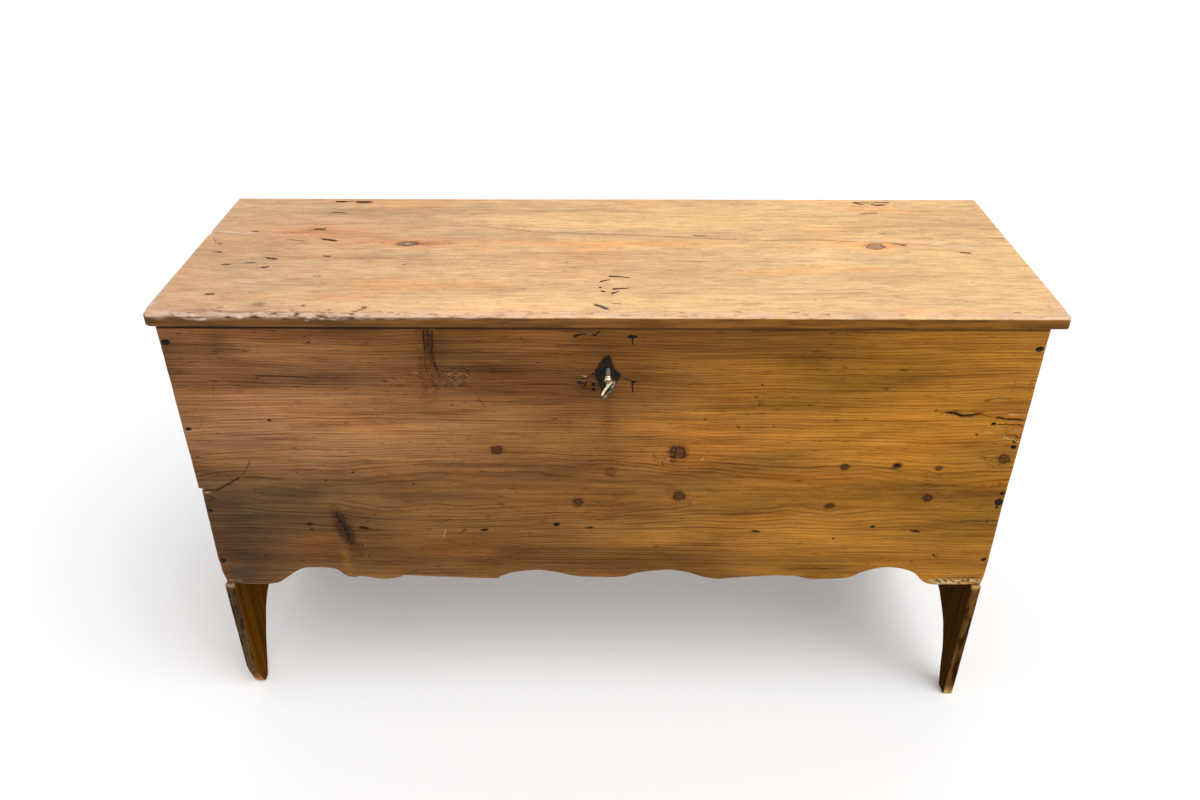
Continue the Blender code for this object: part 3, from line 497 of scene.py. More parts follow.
# End boards: two upright pine boards, notched for the front and the back, whose arched lower ends are the
# feet. The front toe of the left one is worn away, and all the tips are rubbed pale.
front_low, front_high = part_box("front_board")
back_low, back_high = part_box("back_board")
front_face, front_inner = front_low.y, front_high.y
back_face, back_inner = back_high.y, back_low.y
joint_gap = 0.0003
shoulder, left_shoulder = front_low.z - joint_gap, 0.2560
back_shoulder = back_low.z - joint_gap
board_top = front_high.z
raw_upright = (0.29, 0.165, 0.08)


def through_points(points, steps=5):
    """A smooth line through measured points."""
    path = []
    for number in range(len(points) - 1):
        a, b, c, d = (Vector(points[min(max(number + shift, 0), len(points) - 1)]) for shift in (-1, 0, 1, 2))
        for part in range(steps):
            t = part / steps
            path.append(((2 * b) + (c - a) * t + (2 * a - 5 * b + 4 * c - d) * t * t
                         + (3 * b - a - 3 * c + d) * t ** 3) / 2)
    return path + [Vector(points[-1])]


def foot_arch(front_edge):
    """The arch from the front foot to the back one, as (depth, height), with the front curve as measured."""
    rear = measured(((-95, 112), (-70, 80), (-52, 44), (-40, 14), (-34, 0)), along=back_face)
    crown = [((front_face + back_face) / 2, 0.163)]
    return [(*spot, 0.0) for spot in through_points(measured(front_edge, along=front_face) + crown + rear)]


left_arch = foot_arch(((37, 0), (45, 16), (58, 46), (70, 71), (84, 95), (99, 118), (127, 139)))
right_arch = foot_arch(((27, 0), (33, 15), (41, 40), (50, 73), (64, 99), (77, 117), (107, 138), (127, 147)))
notches = [(back_face, 0.0, 0.003), (back_face, back_shoulder, 0.001),
           (back_inner - joint_gap, back_shoulder, 0.0), (back_inner - joint_gap, board_top, 0.001),
           (front_inner + joint_gap, board_top, 0.001)]
left_corners = [(front_face + 0.022, 0.0, 0.006), *left_arch, *notches,
                (front_inner + joint_gap, left_shoulder, 0.0), (front_face, left_shoulder, 0.002),
                (front_face + 0.0004, 0.16, 0.02), (front_face, 0.060, 0.012),
                (front_face + 0.012, 0.022, 0.012)]
right_corners = [(front_face + 0.001, 0.0, 0.004), *right_arch, *notches,
                 (front_inner + joint_gap, shoulder, 0.0), (front_face, shoulder, 0.002),
                 (front_face + 0.0006, 0.12, 0.02)]


def foot_wear(along, across):
    """Edges of the feet are rubbed round, those above are crisp."""
    if across < shoulder + 0.001:
        return 0.0022 + 0.0011 * noise.noise((along * 60, across * 45, 2)) + max(0.0, 0.05 - across) * 0.03
    return 0.0008


def spread(spots, stain):
    """A tint of soft spots (along, across, half length, half height, colour, stain), one over another."""
    def tint(along, across):
        tone = [1.0, 1.0, 1.0, stain]
        for middle, level, long, high, colour, dirt in spots:
            share = math.exp(-((along - middle) / long) ** 2 - ((across - level) / high) ** 2)
            tone[:3] = [part * (1 + share * (wanted - 1)) for part, wanted in zip(tone, colour)]
            tone[3] += share * (dirt - tone[3])
        return tone
    return tint


def pit_points(along, across, wide, high, deep, black, pale=0.0):
    """Points of a small hollow: its floor, the foot of its wall and its lip."""
    points = [(along, across, deep, black, pale)]
    for ring, count, sink, dark, light in ((0.8, 8, deep, black, pale), (1.3, 10, 0.0, 0.0, 0.0)):
        for step in range(count):
            turn = 2 * math.pi * (step + 0.5 * (ring > 1)) / count
            x, y = math.cos(turn), math.sin(turn)
            out = ring * (1 + 0.22 * noise.noise((along * 90 + x, across * 90 + y, ring)))
            points.append((along + wide * out * x, across + high * out * y, sink, dark, light))
    return points


def end_board(name, node, side, corners, ledge, strip, tip, seed, material):
    """An end board, with side -1 on the left and 1 on the right, and worm holes low on its leg.

    ledge is the height of its shoulder, where a pale spot is painted as the highlight of its lit top. strip
    and tip are the tints of its front edge and of its toe.
    """
    low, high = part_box(node)
    outer = high.x if side > 0 else low.x
    if side < 0:
        corners = [(-depth, height, reach) for depth, height, reach in reversed(corners)]
    # Tints: a dark front edge, a rubbed pale toe, a pale spot at the shoulder that is a painted highlight for
    # the lit top of the ledge, and a pale back toe.
    shades = spread([(front_face, 0.15, 0.014, 0.40, strip, 0.9), (front_face, 0.0, 0.028, 0.016, tip, 0.1),
                     (front_face, ledge, 0.006, 0.004, (3.6, 4.2, 5.0), 0.0),
                     (back_face, 0.0, 0.03, 0.03, (1.4, 1.4, 1.4), 0.1)], 0.7)
    holes = measured(((12, 75, 1.1), (18, 55, 0.9), (26, 110, 1.0), (40, 148, 1.2)), 3, along=front_face)
    board = plank(name, corners, lambda along, across, depth: (outer - side * depth, side * along, across),
                  high.x - low.x, foot_wear, under=0.0022, rubbed=(0.1, 0.5, 0.2, 0.0),
                  dish=hollows(0.0004, 9, 3, seed), tint=lambda along, across: shades(side * along, across),
                  marks=[point for depth, height, size in holes
                         for point in pit_points(side * depth, height, size, size, 0.003, 0.9)])
    finish(board, [node], material=material)


end_board("left_end_plank", "left_end_board", -1, left_corners, left_shoulder, (0.20, 0.31, 0.72),
          (2.8, 3.8, 5.2), 1, old_pine(
              "left_end_pine", "ZYX", (0.02, -0.58), 0.0055, (0.34, 0.145, 0.035), (0.20, 0.075, 0.018),
              raw_upright, (-0.6240, -0.6226), (0.30, 0.21, 0.11), 11.0, gloss=0.0, patches=1.0,
              low=((0.115, 0.042, 0.0035), (0.300, 0.292)),
              knots=measured(((500, 60, 16, 11, 0.9, 0, 0.6), (620, -90, 14, 10, 0.9, 0, 0.6)), 4)))
end_board("right_end_plank", "right_end_board", 1, right_corners, shoulder, (0.42, 0.50, 0.56),
          (3.8, 5.0, 7.5), 7, old_pine(
              "right_end_pine", "ZYX", (0.05, 0.70), 0.0055, (0.34, 0.145, 0.035), (0.20, 0.075, 0.018),
              raw_upright, (0.6160, 0.6146), (0.42, 0.30, 0.15), 17.0, gloss=0.0, patches=1.0,
              low=((0.062, 0.027, 0.0060), (0.300, 0.292)),
              knots=measured(((440, 100, 17, 12, 0.9, 0, 0.6), (580, -60, 12, 9, 0.9, 0, 0.6),
                              (690, 150, 12, 9, 0.8, 0, 0.6)), 4)))


# Back board: one wide pine board nailed into the notches of the end boards. It stood against a wall, so it
# was never waxed, and it has gone grey-brown. It hangs a little below the bottom.
def crack_points(line, half, deep, black, pale=0.0):
    """Points of a groove along a line: its floor, and a lip on each side. A wide one has a flat floor."""
    spacing, wide = 0.0022, 0.0022
    points = []
    spans = [(Vector(a), Vector(b)) for a, b in zip(line, line[1:])]
    total = sum((b - a).length for a, b in spans)
    gone = 0.0
    for a, b in spans:
        run = b - a
        side = Vector((-run.y, run.x)).normalized()
        parts = max(2, round(run.length / spacing))
        for part in range(parts):
            share = (gone + run.length * part / parts) / total
            taper = min(1.0, 6 * min(share, 1 - share) + 0.15)
            stray = noise.noise((a.x * 40 + part * 0.7, a.y * 40, half * 900)) * min(half * 0.9, 0.0008)
            spot = a + run * part / parts + side * stray
            for shift in (-0.5, 0.5) if half > wide else (0.0,):
                points.append((*(spot + side * shift * half * taper), deep * taper,
                               black * (0.4 + 0.6 * taper), pale * taper))
            for lip in (-1, 1):
                points.append((*(spot + side * lip * half * (0.45 + 0.55 * taper)), 0.0, 0.0, 0.0))
        gone += run.length
    return points


def crack_marks(rows, level=0.0):
    """Points of cracks measured in millimetres: line, half width, depth, and how black and pale each is."""
    return [point for line, half, deep, *shade in rows
            for point in crack_points(measured(line, across=level), half / 1000, deep / 1000, *shade)]


back_cracks = ((((-632, 545), (-520, 541), (-400, 546)), 0.9, 4, 0.9),
               (((632, 612), (550, 615), (490, 611)), 0.8, 4, 0.9))
back_tint = ((100, 400, 500, 100, (0.75, 0.78, 0.8), 0.8), (-400, 620, 300, 100, (1.15, 1.1, 1.05), 0.3))
back = plank("back_plank", oblong(-back_high.x, back_low.z, -back_low.x, back_high.z, 0.002),
             lambda along, across, depth: (-along, back_face - depth, across), back_face - back_inner,
             lambda along, across: 0.0012 + 0.0006 * noise.noise((along * 20, across * 20, 3)), weave=0.012,
             dish=hollows(0.0007, 2.5, 12, 9), marks=crack_marks(back_cracks),
             tint=spread(measured(back_tint, 4), 0.6))
back_knots = measured(((-360, 570, 17, 12, 0.9, 0, 0.6), (50, 460, 14, 11, 0.9, 0, 0.6),
                       (290, 630, 19, 13, 0.95, 0, 0.6), (470, 410, 12, 9, 0.8, 0, 0.6),
                       (-530, 440, 12, 9, 0.8, 0, 0.6)), 4)
finish(back, ["back_board"], material=old_pine(
    "back_pine", "XZY", (0.50, 0.15), 0.006, (0.33, 0.20, 0.105), (0.18, 0.10, 0.050), raw_upright,
    (0.222, 0.214), (0.42, 0.29, 0.17), 23.0, knots=back_knots, sheen=0.62))


# Front board: one wide flat-sawn pine board with a shaped lower edge, nailed over the ends and the bottom.
# Wax and handling have made it orange-brown, darkest low on the left. Its corners are worn and broken.
def standing(face):
    """Puts (along, across, depth) into a piece that faces the front, from its outer face inwards."""
    return lambda along, across, depth: (along, face + depth, across)


def clamp(value):
    return min(1.0, max(0.0, value))


apron_left = (
    (-596, 256.6), (-568, 256.6), (-554, 259.2), (-540, 266.2), (-507, 291), (-481, 296), (-448, 293),
    (-433, 279.5), (-419, 274.5), (-405, 276.5), (-372, 271), (-347, 273.5), (-334, 279))
apron_middle = (
    (-330, 279.3), (-192, 273.5), (-172, 278.5), (-150, 287.5), (-111, 292.5), (-77, 287.5), (-47, 279.5),
    (-10, 277.5), (32, 279), (55, 287.5), (105, 294), (138, 289), (167, 278.5), (187, 274.5))
apron_right = (
    (190, 274.5), (258, 281.5), (313, 282.5), (337, 276.5), (359, 275), (408, 279.5), (431, 293),
    (469, 302.5), (509, 293.5), (529, 274.5), (540, 267), (557, 263))
front_corners = [(front_low.x + 0.005, 0.2566, 0.004)]
for line in (apron_left, apron_middle, apron_right):
    front_corners += [(*spot, 0.0) for spot in through_points(measured(line))]
front_corners += [(0.590, 0.2622, 0.002), (0.612, 0.2634, 0.002), (front_high.x - 0.001, 0.2640, 0.004),
                  (front_high.x, 0.300, 0.004), (front_high.x - 0.0012, 0.440, 0.004),
                  (front_high.x, 0.590, 0.002), (front_high.x, board_top, 0.002),
                  (front_low.x, board_top, 0.002), (front_low.x, 0.4605, 0.0015),
                  (front_low.x + 0.0085, 0.4580, 0.0),
                  (front_low.x + 0.0040, 0.4555, 0.0015), (front_low.x + 0.0016, 0.350, 0.01),
                  (front_low.x + 0.0006, 0.285, 0.004)]


def front_wear(along, across):
    """Rounding of the front's outer edge: crisp under the lid, rubbed along the apron and at the corners."""
    lid_strip, apron_top, corner, corner_half = 0.02, 0.31, -0.6, 0.05
    stray = noise.noise((along * 45, across * 45, 5))
    if across > board_top - lid_strip:
        return 0.0010
    if across < apron_top:
        return 0.0022 + 0.0010 * stray + (0.0022 if abs(along - corner) < corner_half else 0.0)
    return 0.0016 + 0.0009 * stray


def front_dish(along, across):
    """The face is hand planed, a little hollow, and torn where the right corner block has broken."""
    broken_from, broken_top = 0.548, 0.2790
    worn_to, worn_top = -0.60, 0.285
    split_from, split_low, split_high = 0.596, 0.548, 0.578
    sink = 0.0005 * (noise.noise((along * 2.4, across * 9, 2)) + 0.7)
    edge = broken_top + 0.003 * noise.noise((along * 34, 1, 3)) + 0.003 * noise.noise((along * 130, 1, 3))
    if along > broken_from and across < edge:
        share = min(1.0, (along - broken_from) / 0.015) * min(1.0, (edge - across) / 0.004)
        sink += share * (0.0026 + 0.0016 * noise.noise((along * 150, across * 260, 8)))
    if along < worn_to and across < worn_top:
        sink += 0.0016 * (worn_top - across) / 0.022 * min(1.0, (worn_to - along) / 0.02)
    if split_from < along and split_low < across < split_high:
        torn = max(0.0, 0.0014 * noise.noise((along * 120, across * 200, 4)))
        sink += torn * min(1.0, (along - split_from) / 0.01)
    return sink


def torn_fibres(middle, level, long, high, lean, count, black, pale=0.0):
    """Short torn fibres in a patch beside a knot, all leaning the same way. Every third is pale, if asked."""
    points = []
    for number in range(count):
        spot = noise.cell_vector((number * 1.7, middle * 90, level * 90))
        start = Vector((middle + long * (2 * spot.x - 1), level + high * (2 * spot.y - 1)))
        turn = math.radians(lean + 50 * (spot.z - 0.5))
        run = Vector((math.cos(turn), math.sin(turn))) * (0.003 + 0.006 * spot.x)
        light = pale * (number % 3 == 0)
        shade = 0.0 if light else black * (0.5 + 0.7 * spot.z)
        points += crack_points((start, start + run), 0.0014, 0.0008, shade, light)
    return points


# Measured in millimetres: cracks as for crack_marks, pits with their sizes, depth and black, and torn patches
front_cracks = (
    (((-638.5, 458), (-628, 456.8), (-613, 456.2), (-598, 464), (-581, 475.2), (-566, 485)), 1.9, 6, 1.0),
    (((-566, 485), (-557, 499), (-548, 515)), 1.1, 2, 0.7),
    (((-569, 483), (-545, 483.5), (-520, 480), (-500, 478)), 2.2, 1, 0.6),
    (((-632, 447), (-618, 440.5), (-627, 436)), 1.2, 1.5, 0.7),
    (((-511, 661), (-510.5, 667.2), (-475.6, 667), (-429, 664.8)), 1.9, 1.2, 1.0),
    (((-429, 664.8), (-411.4, 664), (-385, 663)), 1.4, 0.5, 0.6),
    (((-583, 660.6), (-577, 658.2), (-570, 658.8)), 1.4, 1, 0.75),
    (((-578, 652), (-580.6, 629.3)), 1, 0.6, 0.4),
    (((506, 608), (523, 606.2), (534, 601.8), (549, 602.8), (563, 607.3)), 3, 5, 1.0),
    (((584, 599.4), (606.9, 595.9), (630.5, 595)), 2.4, 5, 1.0), (((563, 604), (584, 599.4)), 1, 1, 0.4),
    (((588, 586.9), (609, 587), (630, 585.5)), 1.9, 3, 1.0),
    (((608, 569), (622, 566), (631, 561)), 1.4, 2, 0.8),
    (((560, 629), (583, 634), (600, 632)), 1.1, 1, 0.45),
    (((-203.1, 658.8), (-190, 637), (-176.6, 611.8)), 1.3, 0.5, 0.45),
    (((-258, 748), (-259.3, 720.7), (-259, 708)), 2, 1.5, 1.0),
    (((-259, 708), (-260.4, 688), (-257, 664)), 1.6, 1, 0.55),
    (((-245.5, 748), (-247.5, 720.8), (-250, 704)), 1.8, 1, 0.95),
    (((-252, 747), (-252.8, 730), (-254, 715)), 1.2, 1, 0.75),
    # The next groove is the dark patch right of the spike knot: a shallow groove painted with its shadow.
    (((-249, 702), (-246, 685), (-241, 665)), 3, 1, 0.7),
    (((-256, 660), (-248, 654), (-239, 656)), 1.4, 1, 0.6),
    (((111, 544), (109, 533), (107.5, 522.5)), 1.4, 1, 1.0), (((104, 540), (103.2, 529)), 1.1, 1, 0.8),
    (((119, 542), (123.5, 534), (121, 524)), 1.5, 1, 0.9),
    (((94.5, 521), (100, 519.5), (108, 519)), 1.4, 0.4, 0.0, 0.7),
    (((-431, 412), (-424, 392), (-418, 375), (-413.5, 345)), 2, 2, 0.9),
    (((-424, 405), (-414.5, 372), (-409.5, 352)), 1.4, 1, 0.7),
    (((-121, 736), (-118, 726.2), (-110.8, 726.2), (-92, 727.1)), 1.2, 0.6, 0.45),
    (((25.9, 668.4), (34.7, 663.3), (43.6, 659.9), (48, 659.9)), 1.7, 1, 0.95),
    (((-15.5, 737), (-10.5, 739.5), (-6.2, 744.5)), 2.2, 1, 0.95),
    (((-25.3, 660.5), (-28.3, 654.4), (-31.3, 647.5)), 2, 1.5, 0.9),
    (((-14.5, 673), (-18.5, 671.8)), 3, 0.5, 1.0),
    (((-300, 506), (-220, 504.5), (-130, 506)), 1, 0.3, 0.22),
    (((130, 485), (235, 485.9), (352, 482.7), (428, 490.9)), 1.4, 0.3, 0.4),
    (((0, 454.5), (45, 451.5), (90, 447)), 1.1, 0.3, 0.3),
    (((560, 280), (590, 281.2), (612, 281.8), (631, 280.8)), 1.4, 2, 0.9),
    (((-266, 390), (-255, 397), (-245, 401)), 1.4, 0.8, 0.6),
    (((560, 488), (545, 455), (535, 425)), 1, 0.2, 0.2),
    (((-25.3, 669), (-28, 669.2), (-31, 669)), 1.6, 0, 0.0, 1.0),
    (((-256, 378), (-259, 370), (-260.4, 361.6)), 1.4, 0, 0.0, 0.8),
    (((149, 518), (153, 522.5)), 1.4, 0, 0.0, 0.9),
    (((290, 285), (318, 283), (334, 280)), 1.6, 0.4, 0.0, 0.8),
    (((-640, 266.5), (-628, 266), (-612, 265.5)), 1.8, 0.4, 0.0, 1.0),
    (((-639, 452.5), (-630, 452), (-622, 453)), 1.4, 0, 0.0, 0.7),
    (((600, 564), (618, 561), (631, 556)), 2.4, 0.6, 0.0, 0.9),
    (((602, 604.5), (618, 605), (631, 606)), 2.4, 0.6, 0.0, 0.75),
    (((590, 580), (611, 578.5), (628, 576)), 2.2, 0.6, 0.0, 0.6),
    (((572, 574.5), (590, 571.5)), 1.8, 0.4, 0.0, 0.45))
front_pits = (
    (627, 457, 6, 4, 2, 1.0), (622, 430, 2, 3, 2, 0.9), (38, 735, 5.5, 2.8, 1, 1.0),
    (623, 556, 3.4, 2.4, 2, 1.0), (584.8, 587.7, 3.6, 2.8, 3, 1.0), (540, 329, 2, 2, 3, 1.0),
    (371, 364, 1.6, 1.6, 2, 0.95), (563, 568.6, 2, 1.6, 2, 0.9), (494, 611.4, 2, 1.5, 2, 0.9),
    (-36.4, 657.8, 3.4, 3, 2.5, 1.0), (-14.4, 737.6, 2.8, 1.7, 1, 0.95), (-15.8, 655, 2.6, 3, 2, 0.95),
    (-16, 646, 2.4, 2.8, 2.5, 1.0), (452, 510, 3.6, 2.6, 4, 1.0), (232, 655, 1.5, 1.3, 2, 0.9),
    (224, 634, 1.6, 1.4, 2, 0.9), (231, 620, 1.5, 1.4, 2, 0.9), (150, 594, 1.3, 1.3, 2, 0.9),
    (202, 580, 1.5, 1.4, 2, 0.9), (505, 316, 1.5, 1.3, 2, 0.9), (318, 352, 1.4, 1.3, 2, 0.9),
    (-392, 492, 2, 1.6, 2, 0.95), (-474, 377, 2, 1.6, 2, 0.85), (612, 400, 1.5, 1.2, 2, 0.8),
    (-300, 470, 1.5, 1.2, 2, 0.7), (-120, 366, 1.3, 1.2, 1, 0.6), (85, 345, 1.3, 1.2, 1, 0.6),
    (255, 583, 1.3, 1.2, 1, 0.7), (-505.6, 589.5, 3.2, 2, 2, 0.9), (-425.7, 723.4, 1.8, 1.5, 2, 0.9),
    (-437, 476, 2, 1.6, 1, 0.7), (-480, 492, 1.2, 1.1, 1, 0.7), (-228, 618, 1.5, 1.3, 1, 0.7),
    (-560, 322, 1.6, 1.4, 1, 0.6))
front_torn = (
    (88, 524, 17, 9, -62, 40, 0.95, 0.2), (-224, 668, 20, 18, -22, 90, 0.95, 0.28),
    (-234, 652, 18, 8, 20, 36, 0.85, 0.32), (-264, 662, 11, 16, -45, 30, 0.75, 0.22),
    (-250, 676, 4, 20, 82, 12, 0.5, 0.3), (-300, 668, 26, 12, -8, 18, 0.6, 0.15),
    (-396, 332, 11, 14, 60, 34, 0.65, 0.2), (590, 521, 14, 9, -15, 36, 0.85, 0.25),
    (614, 578, 17, 20, -10, 46, 0.85, 0.35), (612, 470, 12, 18, 10, 14, 0.45),
    (128, 440, 10, 6, -20, 10, 0.5), (-588, 480, 22, 12, -15, 14, 0.45), (-560, 700, 40, 20, 5, 10, 0.3),
    (330, 700, 60, 25, 0, 16, 0.3), (-20, 655, 26, 12, -20, 22, 0.6), (610, 660, 14, 14, -30, 12, 0.4))
front_marks = []
for patch in measured(front_torn, 4):
    front_marks += torn_fibres(*patch)
front_marks += crack_marks(front_cracks)
for pit in measured(front_pits, 5):
    front_marks += pit_points(*pit)

# Painted shadow under the lid: a black band on the flat face along the gap, and splinters over the broken
# face of the lower right corner
painted_lid_shadow = ((0.7500, 1.0), (0.7468, 1.0), (0.7452, 0.0))
for along in np.arange(front_low.x + 0.0025, front_high.x - 0.0025, 0.003):
    black = 0.94 - 0.34 * clamp((along + 0.32) / 0.35)
    front_marks += [(along, level, 0.0, black * share, 0.0) for level, share in painted_lid_shadow]
torn_left, torn_right, torn_low, torn_high = 0.542, 0.631, 0.2655, 0.2815
for along in np.arange(torn_left, torn_right, 0.0030):
    for across in np.arange(torn_low, torn_high, 0.0022):
        shift = noise.noise((along * 400, across * 400, 6)) * 0.0006
        rift = max(0.0, noise.noise((along * 190 + across * 160, across * 90, 2)) * 3.6 - 0.2)
        torn = min(1.0, (along - 0.538) / 0.012) * (across < 0.2785)
        front_marks.append((along + shift, across - shift, 0.0, min(0.95, rift) * torn, torn))

# Stains, and a few spots of painted shade, each with its middle, half length and half height in millimetres,
# its colour and its dirt
front_tint = (
    (-650, 550, 750, 600, (0.72, 0.8, 2.0), 0.8), (-620, 400, 420, 120, (0.42, 0.48, 0.55), 0.8),
    (-100, 360, 240, 120, (0.68, 0.7, 0.72), 0.5), (50, 315, 160, 35, (0.72, 0.7, 0.72), 0.5),
    (0, 720, 420, 60, (0.58, 0.57, 0.6), 0.7), (-250, 700, 120, 60, (0.8, 0.8, 0.82), 0.6),
    (0, 690, 100, 60, (0.85, 0.83, 0.85), 0.5), (-60, 620, 160, 60, (0.7, 0.7, 0.78), 0.5),
    (-50, 545, 130, 50, (0.8, 0.78, 0.8), 0.4), (-400, 575, 250, 60, (1.16, 1.2, 1.2), 0.3),
    (400, 455, 260, 35, (0.8, 0.77, 0.78), 0.4), (600, 460, 80, 60, (0.8, 0.82, 0.75), 0.4),
    (580, 390, 100, 50, (0.82, 0.84, 0.85), 0.4), (600, 540, 60, 40, (0.85, 0.87, 0.9), 0.4),
    (330, 700, 140, 50, (0.88, 0.88, 0.8), 0.5), (400, 640, 400, 100, (1.0, 1.0, 1.0), 0.25),
    (400, 380, 400, 100, (1.0, 1.0, 1.0), 0.2), (300, 487, 100, 8, (1.25, 1.02, 0.8), 0.1),
    # The stripe at (6, 600) below the key is a painted shadow of the key.
    (6, 600, 10, 50, (0.72, 0.7, 0.7), 0.4), (-20, 652, 35, 12, (0.55, 0.52, 0.55), 0.4),
    (-438, 428, 12, 10, (1.3, 1.25, 1.0), 0.1), (-426, 318, 6, 22, (1.7, 1.6, 1.0), 0.1),
    (-470, 345, 50, 40, (1.15, 1.0, 0.85), 0.1), (-557, 722, 20, 20, (0.6, 0.6, 0.62), 0.6),
    (-634, 290, 8, 45, (1.4, 1.05, 0.8), 0.0), (-600, 285, 30, 12, (0.7, 0.85, 1.2), 0.4),
    # The strips at (-500, 742) and (-200, 742), just under the lid's overhang, are painted shade.
    (0, 300, 3000, 35, (0.74, 0.76, 0.8), 0.4), (-500, 742, 140, 16, (0.7, 0.62, 0.6), 0.4),
    (-200, 742, 120, 16, (0.72, 0.64, 0.5), 0.4), (-222, 670, 22, 24, (0.9, 1.02, 1.5), 0.2),
    (-252, 700, 6, 70, (0.75, 0.62, 0.5), 0.2), (-265, 690, 5, 70, (0.6, 0.55, 0.5), 0.3),
    (-236, 715, 12, 50, (0.75, 0.72, 0.7), 0.3), (585, 262, 50, 4, (0.8, 0.8, 0.8), 0.0),
    (-560, 660, 90, 80, (1.22, 1.18, 1.25), 0.5), (300, 690, 150, 60, (0.8, 0.79, 0.7), 0.3),
    (300, 620, 140, 40, (0.88, 0.9, 0.84), 0.3), (-60, 660, 90, 70, (1.14, 1.08, 1.04), 0.5),
    (550, 710, 70, 40, (1.14, 1.14, 1.0), 0.3), (0, 460, 9000, 45, (0.79, 0.79, 0.79), 0.5),
    (-470, 460, 160, 40, (0.82, 0.86, 0.9), 0.7), (0, 330, 9000, 30, (0.88, 0.88, 0.88), 0.4),
    (450, 500, 350, 600, (1.0, 1.0, 0.86), 0.3), (70, 710, 70, 40, (1.17, 1.12, 1.0), 0.4),
    (-400, 700, 70, 45, (0.84, 0.8, 0.9), 0.6), (-160, 620, 140, 40, (1.14, 1.1, 1.08), 0.4),
    (70, 540, 70, 40, (1.18, 1.15, 1.1), 0.3), (-360, 360, 160, 50, (1.2, 1.14, 1.0), 0.4),
    (-200, 330, 120, 30, (1.2, 1.12, 1.0), 0.3), (500, 500, 300, 600, (1.0, 1.0, 0.86), 0.3),
    (-420, 560, 250, 80, (1.0, 1.0, 1.18), 0.4), (-600, 310, 80, 60, (0.66, 0.72, 0.84), 0.7),
    (390, 330, 90, 30, (0.84, 0.88, 1.0), 0.3))
key_x, key_z = 0.0055, 0.6815
eye_radius, slot_half, slot_end = 0.00365, 0.0019, 0.6691
eye_steps, eye_open = 16, 25
keyhole = []
for number in range(eye_steps + 1):
    turn = math.radians(eye_open - 90 + (360 - 2 * eye_open) * number / eye_steps)
    keyhole.append((key_x + eye_radius * math.cos(turn), key_z + eye_radius * math.sin(turn)))
keyhole += [(key_x - slot_half, slot_end), (key_x + slot_half, slot_end)]
front = plank("front_plank", front_corners, standing(front_face), front_inner - front_face, front_wear,
              weave=0.008, dish=front_dish, marks=front_marks, hole=keyhole,
              tint=spread(measured(front_tint, 4), 0.4), rubbed=(0.0, 0.12, 0.22, 0.12))
front_knots = (
    (-165, 537, 8, 7, 0.8, 0, 0.5), (-41, 437, 7, 6, 0.8, 0, 0.5), (-420, 378, 11, 36, 0.9, 15, 0.12),
    (112, 533, 12, 11, 0.8, 0, 0.5), (118, 450, 9, 8, 0.9, 0, 0.5), (372, 508, 6, 5, 0.9, 0, 0.5),
    (452, 510, 6, 5, 0.9, 0, 0.5), (517, 506, 5, 4, 0.85, 0, 0.5), (509, 448, 7, 6, 0.9, 0, 0.5),
    (357, 431, 7, 5, 0.9, 20, 0.5), (614, 523, 8, 8, 0.75, 0, 0.5), (10, 495, 9, 8, 0.4, 0, 0.5),
    (-252, 724, 6.5, 24, 0.55, 2, 0.0), (-165, 476, 60, 16, 0.0, 0, 0.55), (-228, 376, 6, 2, 0.5, 35, 0.2))
finish(front, ["front_board"], material=old_pine(
    "front_waxed_pine", "XZY", (0.455, -0.120), 0.0048, (0.412, 0.177, 0.0275), (0.192, 0.0745, 0.0100),
    raw_board, (-0.170, -0.164), (0.62, 0.44, 0.20), 31.0, knots=measured(front_knots, 4), wander=0.15,
    patches=0.5, gloss=0.05))


# Nails of the boards: square wrought nails with flat hammered heads, black with rust, driven almost flush
# with the wood. Four stand at each end and a row goes into the bottom, front and back.
def forged_iron(name, rust=0.35, shine=0.5):
    """Black forged iron with a scale of rust and rubbed high spots."""
    material, place = new_material(name)
    scale = place.node("TexNoise", sockets={
        "Vector": place, "Scale": 260.0, "Detail": 4.0, "Roughness": 0.65})
    patch = place.node("TexNoise", sockets={"Vector": place, "Scale": 90.0, "Detail": 2.0})
    colour = scale.soft(0.3, 0.7).between((0.003, 0.0025, 0.002), (0.022, 0.016, 0.010))
    colour = colour.under((0.050, 0.022, 0.010), patch.soft(0.48, 0.72) * rust)
    bump = place.node("Bump", sockets={"Strength": 0.6, "Distance": 0.0005, "Height": scale + patch})
    place.ends({"Base Color": colour, "Roughness": scale * 0.3 + shine, "Normal": bump,
                "Metallic": patch.soft(0.65, 0.4) * 0.3, "Specular IOR Level": 0.1})
    return material


iron = forged_iron("rusty_forged_iron")


